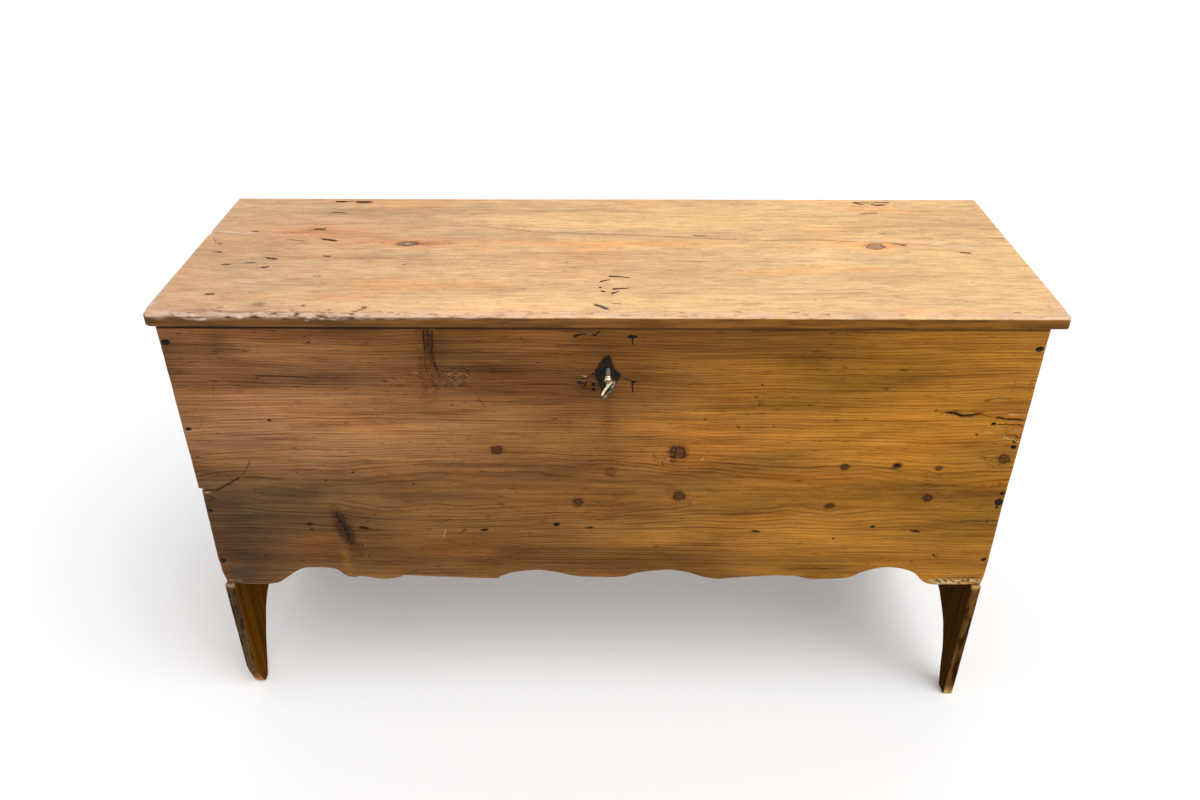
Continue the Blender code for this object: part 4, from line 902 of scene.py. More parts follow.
def nail_nodes():
    """Nails on points: a hammered head and a square tapered shank, turned, sized and dented at random."""
    tree = bpy.data.node_groups.new("wrought_nails", "GeometryNodeTree")
    tree.interface.new_socket("Points", in_out="INPUT", socket_type="NodeSocketGeometry")
    for label, kind in (("Head width", "Float"), ("Head height", "Float"), ("Head thickness", "Float"),
                        ("Shank", "Float"), ("Length", "Float"), ("Dents", "Float"), ("Seed", "Int"),
                        ("Iron", "Material")):
        tree.interface.new_socket(label, in_out="INPUT", socket_type="NodeSocket" + kind)
    tree.interface.new_socket("Nails", in_out="OUTPUT", socket_type="NodeSocketGeometry")
    given = tree.nodes.new("NodeGroupInput").outputs

    def node(kind, settings, sockets, out=0):
        """A node's output, once its settings and sockets are filled in."""
        made = tree.nodes.new(kind)
        for name, value in settings.items():
            setattr(made, name, value)
        for name, value in sockets.items():
            if isinstance(value, bpy.types.NodeSocket):
                tree.links.new(value, made.inputs[name])
            else:
                made.inputs[name].default_value = value
        return made.outputs[out]

    def vector(x, y, z):
        return node("ShaderNodeCombineXYZ", {}, {"X": x, "Y": y, "Z": z})

    def cone(vertices, segments, top, bottom, **placed):
        mesh = node("GeometryNodeMeshCone", {"fill_type": "NGON"}, {
            "Vertices": vertices, "Side Segments": segments, "Radius Top": top, "Radius Bottom": bottom,
            "Depth": 1.0})
        return node("GeometryNodeTransform", {}, {"Geometry": mesh, **placed})

    def named(label):
        settings = {"data_type": "FLOAT_VECTOR"}
        return node("GeometryNodeInputNamedAttribute", settings, {"Name": label}, "Attribute")

    thick, long = given["Head thickness"], given["Length"]
    sunk = node("ShaderNodeMath", {"operation": "MULTIPLY"}, {0: thick, 1: -1.0})
    fall = node("ShaderNodeMath", {"operation": "MULTIPLY_ADD"}, {0: long, 1: -1.0, 2: sunk})
    head = cone(9, 2, 0.36, 0.5, Scale=vector(given["Head width"], given["Head height"], thick),
                Translation=vector(0.0, 0.0, sunk))
    shank = cone(4, 1, 0.7, 0.2, Scale=vector(given["Shank"], given["Shank"], long),
                 Translation=vector(0.0, 0.0, fall), Rotation=(0.0, 0.0, math.pi / 4))
    nail = tree.nodes.new("GeometryNodeJoinGeometry")
    for part in (head, shank):
        tree.links.new(part, nail.inputs["Geometry"])
    most_turn = 0.35
    spin = node("FunctionNodeRandomValue", {"data_type": "FLOAT"},
                {"Min": -most_turn, "Max": most_turn, "Seed": given["Seed"]}, "Value")
    turned = node("FunctionNodeRotateRotation", {"rotation_space": "LOCAL"}, {
        "Rotation": node("FunctionNodeEulerToRotation", {}, {"Euler": named("facing")}),
        "Rotate By": node("FunctionNodeEulerToRotation", {}, {"Euler": vector(0.0, 0.0, spin)})})
    nails = node("GeometryNodeInstanceOnPoints", {}, {
        "Points": given["Points"], "Instance": nail.outputs["Geometry"], "Rotation": turned,
        "Scale": named("size")})
    real = node("GeometryNodeRealizeInstances", {}, {"Geometry": nails})
    rough = node("ShaderNodeTexNoise", {}, {"Scale": 420.0, "Detail": 1.0}, "Color")
    middle = node("ShaderNodeVectorMath", {"operation": "SUBTRACT"}, {0: rough, 1: (0.5, 0.5, 0.5)})
    dent = node("ShaderNodeVectorMath", {"operation": "SCALE"}, {0: middle, "Scale": given["Dents"]})
    dented = node("GeometryNodeSetPosition", {}, {"Geometry": real, "Offset": dent})
    clad = node("GeometryNodeSetMaterial", {}, {"Geometry": dented, "Material": given["Iron"]})
    tree.links.new(clad, tree.nodes.new("NodeGroupOutput").inputs["Nails"])
    return tree


wrought_nails = nail_nodes()


def nail_piece(name, nodes, places, **sizes):
    """Nails at (place, facing, share of the head's width and height) as one plain mesh."""
    mesh = bpy.data.meshes.new(name + "_points")
    mesh.from_pydata([spot for spot, _, _ in places], [], [])
    facing = [angle for _, turn, _ in places for angle in turn]
    heads = [part for _, _, head in places for part in (*head, 1.0)]
    for label, values in (("facing", facing), ("size", heads)):
        mesh.attributes.new(label, "FLOAT_VECTOR", "POINT").data.foreach_set("vector", values)
    holder = add_object(name + "_points", mesh)
    modifier = holder.modifiers.new("nails", "NODES")
    modifier.node_group = wrought_nails
    sockets = {item.name: item.identifier for item in wrought_nails.interface.items_tree
               if item.in_out == "INPUT"}
    for label, value in sizes.items():
        modifier[sockets[label.replace("_", " ")]] = value
    made = bpy.data.meshes.new_from_object(holder.evaluated_get(bpy.context.evaluated_depsgraph_get()))
    made.name = name
    bpy.data.objects.remove(holder)
    finish(add_object(name, made), nodes)


facing_front, facing_back = (math.pi / 2, 0.0, 0.0), (math.pi / 2, 0.0, math.pi)
head_wide, head_high, head_proud = 0.0140, 0.0100, 0.0004
board_nails = [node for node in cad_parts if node.startswith(("front_", "back_")) and "_nail_" in node]

# Each head seen on the front, with its place, width and height in millimetres
head_sizes = (
    (-632, 724, 17, 12), (-631, 574, 13, 8), (-631, 417, 13, 9), (-625, 310, 12, 13), (626, 718, 17, 11),
    (624, 547, 11, 9), (625, 441, 17, 17), (621, 321, 12, 8), (-471, 389, 12, 8), (-388, 381, 20, 6.5),
    (-194, 373, 18, 5), (-76, 398, 13, 9.5), (-23, 384, 13, 4.5), (245, 375, 20, 4.5), (431, 393, 12, 6.5),
    (501, 362, 23, 4.5))
seen_heads = measured(head_sizes, 4)
nail_places = []
for node in board_nails:
    low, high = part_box(node)
    middle = (low + high) / 2
    if node.startswith("front_"):
        seen = min(seen_heads, key=lambda head: math.dist(head[:2], (middle.x, middle.z)))
        share = (seen[2] / head_wide, seen[3] / head_high)
        nail_places.append(((middle.x, front_face - head_proud, middle.z), facing_front, share))
    else:
        wide = noise.cell(middle * 37)
        share = (0.8 + 0.3 * wide, 1.1 - 0.4 * wide)
        nail_places.append(((middle.x, back_face + head_proud, middle.z), facing_back, share))
nail_piece("board_nails", board_nails, nail_places, Head_width=head_wide, Head_height=head_high,
           Head_thickness=0.0024, Shank=0.004, Length=0.05, Dents=0.0016, Seed=7, Iron=iron)


# Lock: a forged iron box nailed inside the front, with a bolt that the key's bit draws, a leaf spring over
# it, and four nails that come through the front and are turned over there.
def append(shape, part):
    """Adds one bmesh to another, and frees it."""
    mesh = bpy.data.meshes.new("part")
    part.to_mesh(mesh)
    part.free()
    shape.from_mesh(mesh)
    bpy.data.meshes.remove(mesh)


def smooth_object(name, shape, sharp=40):
    """An object from a bmesh, smooth except where its faces meet at more than an angle in degrees."""
    mesh = bpy.data.meshes.new(name)
    shape.to_mesh(mesh)
    shape.free()
    mesh.shade_smooth()
    mesh.set_sharp_from_angle(angle=math.radians(sharp))
    return add_object(name, mesh)


def forged(name, nodes, body, material, round_over=0.0003, dents=0.0002):
    """Forged ironwork over CAD pieces: the same shapes with hammered, rounded arrises."""
    arris_angle = 0.5
    shape = bmesh.new()
    for node in nodes:
        part = bmesh.new()
        part.from_mesh(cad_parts[node].data)
        bmesh.ops.remove_doubles(part, verts=part.verts, dist=0.00001)
        bmesh.ops.dissolve_limit(part, angle_limit=math.radians(2), verts=part.verts, edges=part.edges)
        if round_over:
            edges = [edge for edge in part.edges
                     if len(edge.link_faces) == 2 and edge.calc_face_angle(0) > arris_angle]
            bmesh.ops.bevel(part, geom=edges, offset=round_over, segments=2, profile=0.6, affect="EDGES",
                            clamp_overlap=True)
        for vert in part.verts:
            vert.co -= vert.normal * dents * (0.5 + 0.5 * noise.noise(vert.co * 420))
        bmesh.ops.triangulate(part, faces=[face for face in part.faces if len(face.verts) > 4])
        append(shape, part)
    finish(smooth_object(name, shape), nodes, body, material)


forged("lock_box", ["lock_case"], "carcass", iron)
forged("lock_bolt_bar", ["lock_bolt"], "bolt", forged_iron("rubbed_iron", 0.15, 0.3))
forged("lock_leaf_spring", ["lock_spring"], "carcass", iron, 0.0001, 0.0)


def bent_nails(name, nails, body, lie, deep):
    """Square nails, each given as (node, shank, bend): head, shank, and the point turned over along bend.

    lie puts (along, across, depth) into the chest, from the face where the points show to the heads' tops.
    """
    head_half, head_top_half, head_thick = 0.0034, 0.0027, 0.0019
    shank_half, shank_end_half = 0.0017, 0.0015
    point_half, point_taper, point_proud, point_foot = 0.0021, 0.0012, 0.00045, 0.0009
    shape = bmesh.new()

    def bar(sections):
        rows = [[shape.verts.new(lie(*corner)) for corner in section] for section in sections]
        shape.faces.new(rows[0])
        shape.faces.new(rows[-1][::-1])
        for upper, lower in zip(rows, rows[1:]):
            for side in range(4):
                shape.faces.new((upper[side], lower[side], lower[side - 1], upper[side - 1]))

    def square(spot, half, depth):
        return [(spot[0] + x * half, spot[1] + y * half, depth)
                for x, y in ((-1, -1), (1, -1), (1, 1), (-1, 1))]

    for _, spot, bend in nails:
        bar([square(spot, head_half, deep - head_thick), square(spot, head_top_half, deep)])
        bar([square(bend[0], shank_end_half, 0.0004), square(spot, shank_half, deep - 0.0018)])
        bend = [Vector(point) for point in bend]
        sections = []
        for number, point in enumerate(bend):
            run = bend[min(number + 1, len(bend) - 1)] - bend[max(number - 1, 0)]
            share = number / (len(bend) - 1)
            side = Vector((-run.y, run.x)).normalized() * (point_half - point_taper * share)
            top = 0.0004 * share - point_proud
            sections.append([(*(point + side), point_foot), (*(point - side), point_foot),
                             (*(point - side * 0.7), top), (*(point + side * 0.7), top)])
        bar(sections)
    bmesh.ops.recalc_face_normals(shape, faces=shape.faces)
    bmesh.ops.bevel(shape, geom=shape.edges[:], offset=0.0003, segments=1, affect="EDGES", clamp_overlap=True)
    for vert in shape.verts:
        vert.co += vert.normal * 0.0002 * noise.noise(vert.co * 500)
    finish(smooth_object(name, shape), [node for node, _, _ in nails], body, iron)


shank_inset = 0.0035
lock_nails = []
for node, bend in (("lock_nail_1", ((-43, 735.2), (-34.5, 738.4), (-26.5, 739.8))),
                   ("lock_nail_2", ((46, 735.6), (41.5, 734), (40, 729), (41.5, 722))),
                   ("lock_nail_3", ((-39, 659.5), (-32, 657), (-26, 656.5))),
                   ("lock_nail_4", ((46, 660.5), (41, 658.5), (41.6, 650), (42.4, 642.5)))):
    low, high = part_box(node)
    if node in ("lock_nail_1", "lock_nail_3"):
        spot = (low.x + shank_inset, (low.z + high.z) / 2)
    else:
        spot = ((low.x + high.x) / 2, high.z - shank_inset)
    lock_nails.append((node, spot, measured(bend)))
bent_nails("lock_nails", lock_nails, "carcass", standing(front_face),
           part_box("lock_nail_4")[1].y - front_face)


# Escutcheon: a small rough diamond of sheet iron over the keyhole, held by four little pins.
# Its edge follows the one measured in the photograph, and its face is uneven.
plate_low, plate_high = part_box("escutcheon")
plate_edge = ((3, 638.5), (8.5, 641.5), (14.3, 656), (18.5, 661), (21.5, 665), (24.2, 670), (23.2, 675.0),
              (18.5, 677.7), (14.8, 682.5), (12.6, 690.3), (9.7, 699.5), (6.0, 706.6), (-0.4, 701.1),
              (-6.2, 693.0), (-10.5, 684.5), (-13.4, 678.4), (-14.3, 673.0), (-12.6, 668.5), (-10.2, 663),
              (-8.2, 657), (-3.3, 647.6))
plate = plank("key_plate", [(*corner, 0.0006) for corner in measured(plate_edge)], standing(plate_low.y),
              plate_high.y - plate_low.y, lambda along, across: 0.0005, under=0.0002, step=0.002,
              weave=0.003, hole=keyhole,
              dish=lambda along, across: 0.0005 * abs(noise.noise((along * 170, across * 170, 5))))
finish(plate, ["escutcheon"], material=iron)
pin_nodes = [f"escutcheon_pin_{number}" for number in (1, 2, 3, 4)]
pin_places = []
for node in pin_nodes:
    low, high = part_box(node)
    middle = (low + high) / 2
    pin_places.append(((middle.x, low.y, middle.z), facing_front, (1.0, 0.9)))
nail_piece("key_plate_pins", pin_nodes, pin_places, Head_width=0.0034, Head_height=0.0036,
           Head_thickness=0.0012, Shank=0.0016, Length=0.011, Dents=0.0003, Seed=3, Iron=iron)


# Key: a turned shank with a stepped collar, an oval bow and a plain bit. The plating is bright from the
# collar outwards and dull on the shank behind it, and the bow's far end is darkened with painted shade.
key_lean = math.radians(36)
key_profile = measured(((46.6, 0), (46.6, 2.6), (45.5, 3.3), (34.5, 3.3), (33.8, 4), (33, 4.9), (31.8, 5.2),
                        (30.4, 5.2), (29.6, 4.4), (29, 3.9), (28.4, 4.4), (27.6, 5.2), (26.2, 5.2),
                        (25, 4.9), (24.3, 4), (23.8, 3.2), (15, 3.2), (-39.2, 3.2), (-39.2, 2),
                        (-41.2, 2), (-41.2, 0)))
shank_steps, bow_steps, wire_steps = 28, 56, 16
shape = bmesh.new()


def circle(steps):
    """The cosine and sine of each step round a circle."""
    turns = [2 * math.pi * step / steps for step in range(steps)]
    return [(math.cos(turn), math.sin(turn)) for turn in turns]


def skin(upper, lower):
    """Faces between two rings of points, or between a ring and a single point."""
    steps = max(len(upper), len(lower))
    for step in range(steps):
        after = (step + 1) % steps
        corners = [upper[step % len(upper)], lower[step % len(lower)], lower[after % len(lower)],
                   upper[after % len(upper)]]
        shape.faces.new(list(dict.fromkeys(corners)))


rings = []
for out, radius in key_profile:
    spots = circle(shank_steps) if radius else [(0.0, 0.0)]
    rings.append([shape.verts.new((radius * x, radius * y, out)) for x, y in spots])
for upper, lower in zip(rings, rings[1:]):
    skin(upper, lower)
bow_half, bow_reach, bow_middle = 0.0158, 0.0103, 0.0569
wire_half, wire_side = 0.0018, 0.0021
bow_rows = []
for x, y in circle(bow_steps):
    middle = Vector((0.0, bow_half * y, bow_middle - bow_reach * x))
    away = Vector((0.0, y / bow_half, -x / bow_reach)).normalized()
    girth = wire_half * (1.0 + 0.10 * x)
    bow_rows.append([
        shape.verts.new(middle + away * girth * out * 0.98 + Vector((1, 0, 0)) * wire_side * side)
        for out, side in circle(wire_steps)])
for here, there in zip(bow_rows, bow_rows[1:] + bow_rows[:1]):
    skin(here, there)
bit = bmesh.new()
bit_seat = Matrix.Translation((0, 0.0065, -0.0308)) @ Matrix.Diagonal((0.003, 0.011, 0.006, 1))
bmesh.ops.create_cube(bit, size=1.0, matrix=bit_seat)
bmesh.ops.bevel(bit, geom=bit.edges[:], offset=0.0004, segments=2, affect="EDGES")
append(shape, bit)
bmesh.ops.recalc_face_normals(shape, faces=shape.faces)
shape.transform(Matrix.Translation((key_x, front_face, key_z)) @ Matrix.Rotation(math.radians(90), 4, "X")
                @ Matrix.Rotation(-key_lean, 4, "Z"))

plating, place = new_material("rubbed_plating")
tarnish = place.node("TexNoise", sockets={"Vector": place, "Scale": 240.0, "Detail": 3.0})
out = place.node("SeparateXYZ", sockets={"Vector": place}).out("Y")
dull = out.soft(-0.2055, -0.2035)
# The bow's far end is darkened in the plating's colour: painted shade.
tip = out.soft(-0.2405, -0.2440) * (0.55 + 0.45 * tarnish.soft(0.62, 0.45))
colour = tarnish.soft(0.42, 0.7).between((0.80, 0.73, 0.53), (0.52, 0.43, 0.24))
colour = colour.under((0.22, 0.22, 0.21), dull).under((0.065, 0.055, 0.065), tip)
stretched = place.node("VectorMath", {"operation": "MULTIPLY"}, {0: place, 1: (900.0, 250.0, 900.0)})
scratches = place.node("TexNoise", sockets={"Vector": stretched, "Scale": 1.0})
bump = place.node("Bump", sockets={"Strength": 0.12, "Distance": 0.0003, "Height": tarnish + scratches})
place.ends({"Base Color": colour, "Metallic": 1.0 - dull * 0.75, "Normal": bump,
            "Roughness": tarnish * 0.22 + 0.12 + dull * 0.3})
finish(smooth_object("key_turned", shape, 45), ["key"], "key", plating)


# Lid: one wide pine board rubbed pale by use, with a rounded, chewed front edge, split edges and old marks.
# The clinched ends of the hinge wires and of the hasp's nails show on top.
lid_low, lid_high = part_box("lid")
lid_roll = lid_low.y + 0.02
left_split, right_split = front_face + 0.280, front_face + 0.264
lid_corners = [
    (lid_low.x, lid_low.y, 0.013), (lid_high.x, lid_low.y, 0.003),
    (lid_high.x, right_split - 0.010, 0.002), (lid_high.x - 0.0014, right_split, 0.001),
    (lid_high.x, right_split + 0.006, 0.002), (lid_high.x, lid_high.y, 0.005), (lid_low.x, lid_high.y, 0.004),
    (lid_low.x, left_split + 0.006, 0.002), (lid_low.x + 0.0030, left_split, 0.001),
    (lid_low.x, left_split - 0.012, 0.002)]


def lid_wear(along, across):
    """Rounding of the lid's upper edge, heavy along the front where hands lift it."""
    stray = noise.noise((along * 30, across * 30, 6)) + 0.6 * noise.noise((along * 110, across * 110, 6))
    if across < lid_roll:
        left, tip = clamp((-0.12 - along) / 0.20), clamp((along - 0.60) / 0.04)
        return 0.0040 + 0.0014 * stray + 0.0048 * left - 0.0020 * tip
    return (0.0014 if along > 0 else 0.0024) + 0.0005 * stray


def lid_rub(along, across):
    """How far the worn edge reaches onto the lid, and how strongly: a pale, ragged band along the front."""
    stray = 0.5 + noise.noise((along * 26, 3, 1)) + 0.6 * noise.noise((along * 90, 3, 1))
    if across < lid_low.y + 0.04:
        return 0.008 + 0.010 * max(0.0, stray), 0.75
    if along > 0:
        return 0.005, 0.15 + 0.9 * max(0.0, noise.noise((2, across * 40, 8)))
    return 0.005, 0.7 if abs(across - left_split) < 0.012 else 0.12


def lid_chew(along, across, turn):
    """Splinters along the front roll, most of them on the left: black gaps, dirt and painted shade, between
    pale ridges.

    A slit shows in the edge below, and the right tip is broken and pale.
    """
    if across > lid_roll:
        return 0.0, 0.0
    roll_end, slit_start = 1.45, 1.58
    slit_middle, slit_half = 0.408, 0.036
    if turn > roll_end:
        slit = 0.85 * max(0.0, 1.0 - ((along - slit_middle) / slit_half) ** 2)
        return slit if turn > slit_start else 0.0, 0.0
    reach = clamp((along + 0.63) / 0.05) * min(1.0, max(0.40, (-0.22 - along) / 0.14))
    rift = noise.noise((along * 52, turn * 5.2, 4.0)) + 0.5 * noise.noise((along * 150, turn * 9.0, 9.0))
    tip = clamp((along - 0.622) / 0.012)
    black = min(0.85, max(0.0, rift - 0.22) * 3.0) * reach
    pale = min(1.0, max(0.0, -0.24 - rift) * 3.2) * reach
    return black * (1 - 0.6 * tip), max(pale, 0.9 * tip)


def lid_dish(along, across):
    """The top is hand planed, and bitten and torn in a band along its front edge."""
    edge, band = across - lid_low.y, 0.03
    inside = min(1.0, (lid_high.x - abs(along)) / band)
    sink = 0.0006 * (noise.noise((along * 2.2, across * 8, 5)) + 0.7) * inside
    if edge < band:
        worn = 1.0 if along < 0.1 else 0.55
        sink += max(0.0, noise.noise((along * 22, across * 50, 3)) + 0.1) * 0.0034 * worn * (1 - edge / band)
        sink += max(0.0, noise.noise((along * 110, across * 150, 7))) * 0.0018 * worn * (1 - edge / band)
    return sink


# Measured in millimetres from the front board's face: splinters of the front edge with their length, half
# width in tenths, black and pale, then cracks, pits and stains as on the front board
lid_chewed = (
    (-586, -4, 22, 17, 0.7, 0), (-560, -3.2, 20, 20, 0.9, 0), (-534, -2, 26, 16, 0.8, 0),
    (-520, -4.2, 30, 22, 0.95, 0), (-486, -2.4, 24, 17, 0.8, 0), (-470, -4, 26, 21, 0.9, 0),
    (-436, -2.8, 30, 16, 0.75, 0), (-404, -4, 24, 15, 0.6, 0), (-372, -4.4, 20, 15, 0.6, 0),
    (-335, -4.6, 26, 14, 0.5, 0), (-290, -5, 30, 13, 0.5, 0), (-610, -4.5, 20, 20, 0, 1),
    (-574, -1.4, 24, 16, 0, 1), (-545, -4.8, 22, 18, 0, 1), (-505, -0.6, 30, 15, 0, 1),
    (-488, -4.9, 18, 18, 0, 1), (-452, -1.2, 26, 15, 0, 1), (-440, -4.8, 24, 17, 0, 1),
    (-410, -1.8, 24, 14, 0, 0.8), (-350, -5, 16, 22, 0, 1))
lid_cracks = (
    (((-328, 237), (-322, 242), (-309, 243)), 1.6, 0.6, 0.9),
    (((-329, 233), (-318, 228), (-304, 230)), 1.8, 0.6, 0.95),
    (((-313, 238), (-302, 236), (-291, 235)), 1.6, 0.6, 0.9),
    (((-322, 236), (-313, 235)), 1.8, 0, 0.0, 0.8),
    (((-209, 308), (-124, 287), (-30, 279), (57, 272), (150, 262), (234, 253)), 2.3, 1, 0.55),
    (((234, 253), (330, 255), (430, 246), (510, 236), (560, 220)), 2.3, 0.8, 0.42),
    (((-209, 312), (-124, 291), (-30, 283), (57, 276), (150, 266), (234, 257)), 1.4, 0, 0.0, 0.5),
    (((367, 258), (427, 253), (475, 249), (513, 243), (541, 229), (571, 224), (628, 226),
     (645, 217)), 3.2, 0.3, 0.0, 1.0),
    (((458, 243), (470, 238), (481, 233)), 4, 1, 0.95), (((558, 207), (573, 205)), 3.2, 1, 0.9),
    (((624, 265), (640, 262), (649, 260)), 2.6, 1, 0.6), (((448, 283), (462, 283)), 2.6, 1, 0.5),
    (((-509, 185), (-440, 180), (-366, 178)), 1.6, 0.6, 0.5), (((-366, 178), (-250, 174)), 1.2, 0.4, 0.3),
    (((-646, 284), (-626, 282), (-600, 276), (-570, 278)), 2.8, 0.5, 0.0, 1.0),
    (((-646, 279), (-620, 276), (-598, 271)), 1.4, 0.8, 0.4),
    (((-576, 235), (-563, 251)), 2.4, 0.3, 0.0, 0.5),
    (((-558, 262), (-546, 289), (-535, 298)), 2.2, 0.3, 0.0, 0.45),
    (((-572, 262), (-548, 270), (-520, 268)), 2.4, 0.3, 0.0, 0.4),
    (((-530, 246), (-500, 262)), 2.4, 0.3, 0.0, 0.4), (((-484, 212), (-459, 224)), 2.4, 0.3, 0.0, 0.5),
    (((-446, 208), (-425, 214)), 2.4, 0.3, 0.0, 0.45),
    (((-417, 161), (-396, 171), (-370, 168)), 2.4, 0, 0.0, 0.7), (((-540, 91), (-505, 95)), 3, 0, 0.0, 0.7),
    (((-484, 293), (-474, 295), (-463, 291)), 4.6, 1, 0.85),
    (((-462, 255), (-448, 251), (-432, 245)), 4.6, 1, 0.95),
    (((-518, 252), (-500, 248), (-482, 243)), 2.8, 1, 0.55), (((-583, 284), (-573, 284)), 3.2, 1, 0.9),
    (((-531, 180), (-520, 177), (-509, 174)), 3.8, 1, 0.9), (((-558, 160), (-541, 162)), 3, 1, 0.7),
    (((-591, 153), (-577, 155)), 3.2, 1, 0.85), (((-527, 144), (-516, 146)), 4, 1, 0.9),
    (((-582, 52), (-568, 53)), 3.8, 1, 0.9), (((-442, 188), (-430, 186)), 3.8, 1, 0.8),
    (((-440, 113), (-428, 114)), 3.4, 1, 0.7), (((-475, 366), (-462, 369), (-447, 368)), 2.6, 1, 0.9),
    (((433, 367), (449, 370), (467, 370)), 2.6, 1, 0.85), (((-475, 417), (-459, 417)), 4.2, 0.3, 0.95),
    (((-440, 415), (-412, 413)), 4.2, 0.3, 0.9), (((435, 416), (451, 409)), 3.6, 0.3, 0.85),
    (((462, 412), (472, 406), (488, 408)), 4.2, 0.3, 0.9), (((142, 272), (161, 270)), 4, 0.6, 0.6),
    (((-16, 24), (-5, 17), (6, 8)), 4.2, 0.6, 0.85), (((10, 25), (20, 26)), 2.6, 0.5, 0.6),
    (((-640, 262), (-628, 240)), 1.4, 1, 0.5), (((-624, 235), (-616, 233)), 3.4, 1, 0.6),
    (((-619, 203), (-608, 201)), 3.4, 1, 0.8), (((560, 330), (600, 326)), 1.4, 0.5, 0.4),
    (((300, 410), (330, 408)), 1.4, 0.4, 0.35), (((-120, 120), (-90, 118)), 1.4, 0.4, 0.35),
    (((330, 60), (360, 58)), 1.4, 0.4, 0.35), (((-340, 330), (-300, 327)), 1.6, 0.4, 0.35),
    (((380, 290), (420, 286)), 1.8, 0.4, 0.45), (((-200, 200), (-150, 196)), 1.4, 0.4, 0.3),
    (((80, 330), (120, 327)), 1.4, 0.4, 0.3), (((520, 380), (556, 376)), 1.8, 0.4, 0.45),
    (((-60, 350), (-30, 347)), 1.4, 0.4, 0.3), (((588, -9), (612, -8), (630, -9)), 3, 0.6, 0.0, 1.0),
    (((632, -7), (646, -2)), 3.4, 0.6, 0.0, 1.0), (((300, 190), (340, 187)), 1.4, 0.4, 0.3),
    (((420, 45), (440, 44)), 2, 0.4, 0.45))
lid_pits = (
    (-616, 200, 1.6, 2, 2, 0.9), (-549, 178, 1.5, 1.2, 2, 0.8), (-573, 171, 1.8, 1.4, 2, 0.85),
    (-434, 113, 2, 1.3, 2, 0.7), (-493, 20, 9, 6, 0.4, 0.4), (-429, 17, 4, 3.2, 1, 0.55),
    (-341, 11, 4.4, 4.4, 1, 0.7), (-310, 157, 2.4, 2, 1.2, 0.7), (-545, 10, 5, 4, 0.4, 0.35),
    (-466, 300, 2.6, 2, 1, 0.8), (-360, 300, 1.2, 1.2, 1.5, 0.7), (-120, 75, 1.3, 1.1, 1.5, 0.7),
    (250, 180, 1.2, 1.1, 1.5, 0.5), (-40, 330, 2.6, 1.8, 0.6, 0.4), (-60, 168, 1.2, 1.2, 1.5, 0.6),
    (610, 290, 2, 1.6, 1, 0.6), (520, 300, 1.6, 1.2, 1, 0.5), (-250, 240, 1.3, 1.1, 1.5, 0.7),
    (-330, 120, 1.1, 1, 1.5, 0.5), (150, 40, 1.3, 1, 1.5, 0.5), (545, 100, 1.3, 1.1, 1.5, 0.4))
lid_tint = (
    (-650, 220, 450, 1000, (0.77, 0.75, 0.86), 0.5), (-470, 270, 110, 40, (1.02, 0.88, 0.8), 0.2),
    (-300, 240, 90, 18, (1.0, 0.78, 0.64), 0.2), (-286, 236, 30, 7, (0.76, 0.64, 0.62), 0.2),
    (40, 236, 150, 11, (1.06, 0.84, 0.66), 0.1), (434, 234, 70, 10, (1.06, 0.82, 0.64), 0.1),
    (420, 172, 45, 16, (0.8, 0.86, 0.92), 0.3), (-30, 150, 130, 70, (0.98, 0.9, 0.92), 0.2),
    (-400, 268, 60, 14, (0.8, 0.72, 0.72), 0.3), (-480, 285, 50, 12, (0.82, 0.76, 0.76), 0.3),
    (-640, 20, 60, 60, (0.92, 0.86, 0.88), 0.3), (0, 30, 2000, 50, (1.08, 1.1, 1.11), 0.0),
    (0, 0, 900, 14, (1.0, 0.94, 0.98), 0.0), (480, 20, 330, 45, (0.9, 0.9, 0.93), 0.0),
    (-480, -10, 260, 6, (0.8, 0.8, 0.84), 0.2), (-5, 14, 20, 8, (0.78, 0.84, 0.92), 0.1),
    (-493, 18, 25, 12, (0.82, 0.86, 0.9), 0.2), (-560, 230, 70, 60, (0.94, 0.92, 0.92), 0.3),
    (310, 145, 110, 60, (1.06, 1.13, 1.18), 0.1), (-560, 145, 80, 55, (0.89, 0.93, 0.94), 0.4),
    (-240, 260, 80, 50, (0.87, 0.88, 0.95), 0.3), (-80, 260, 80, 45, (0.91, 0.93, 1.0), 0.3),
    (200, 330, 400, 60, (0.97, 0.97, 0.95), 0.3), (-560, 380, 110, 40, (0.92, 0.96, 1.0), 0.4))
splinters = [(((x, y), (x + long / 2, y + 0.6), (x + long, y - 0.5)), half / 10, 1.2, black, pale)
             for x, y, long, half, black, pale in lid_chewed]
lid_marks = crack_marks(splinters, front_face) + crack_marks(lid_cracks, front_face)
for pit in measured(lid_pits, 5, across=front_face):
    lid_marks += pit_points(*pit)

# Small bites behind the front roll, most of them on the left
bites, left_bites = 64, 40
for number in range(bites):
    spot = noise.cell_vector((number * 1.37, 5.0, 2.0))
    wide = 0.30 if number < left_bites else 1.22
    start = Vector((-0.60 + wide * spot.x, lid_low.y + 0.0065 + 0.012 * spot.y))
    bite = Vector((0.003 + 0.008 * spot.z, 0.002 * (spot.x - spot.z)))
    lid_marks += crack_points((start, start + bite), 0.0012 + 0.0010 * spot.y, 0.0012, 0.45 + 0.5 * spot.z)
lid = plank("lid_plank", lid_corners, lying(lid_high.z), lid_high.z - lid_low.z, lid_wear, under=0.0030,
            step=0.003, weave=0.008, dish=lid_dish, marks=lid_marks,
            tint=spread(measured(lid_tint, 4, across=front_face), 0.25),
            rubbed=(0.9, 0.85, 0.7, 0.45, 0.2, 0.0), rub=lid_rub, chew=lid_chew)
lid_knots = ((-316, 235, 16, 8.5, 0.85, 0, 0.5), (431, 228, 16, 10, 0.85, 0, 0.5))
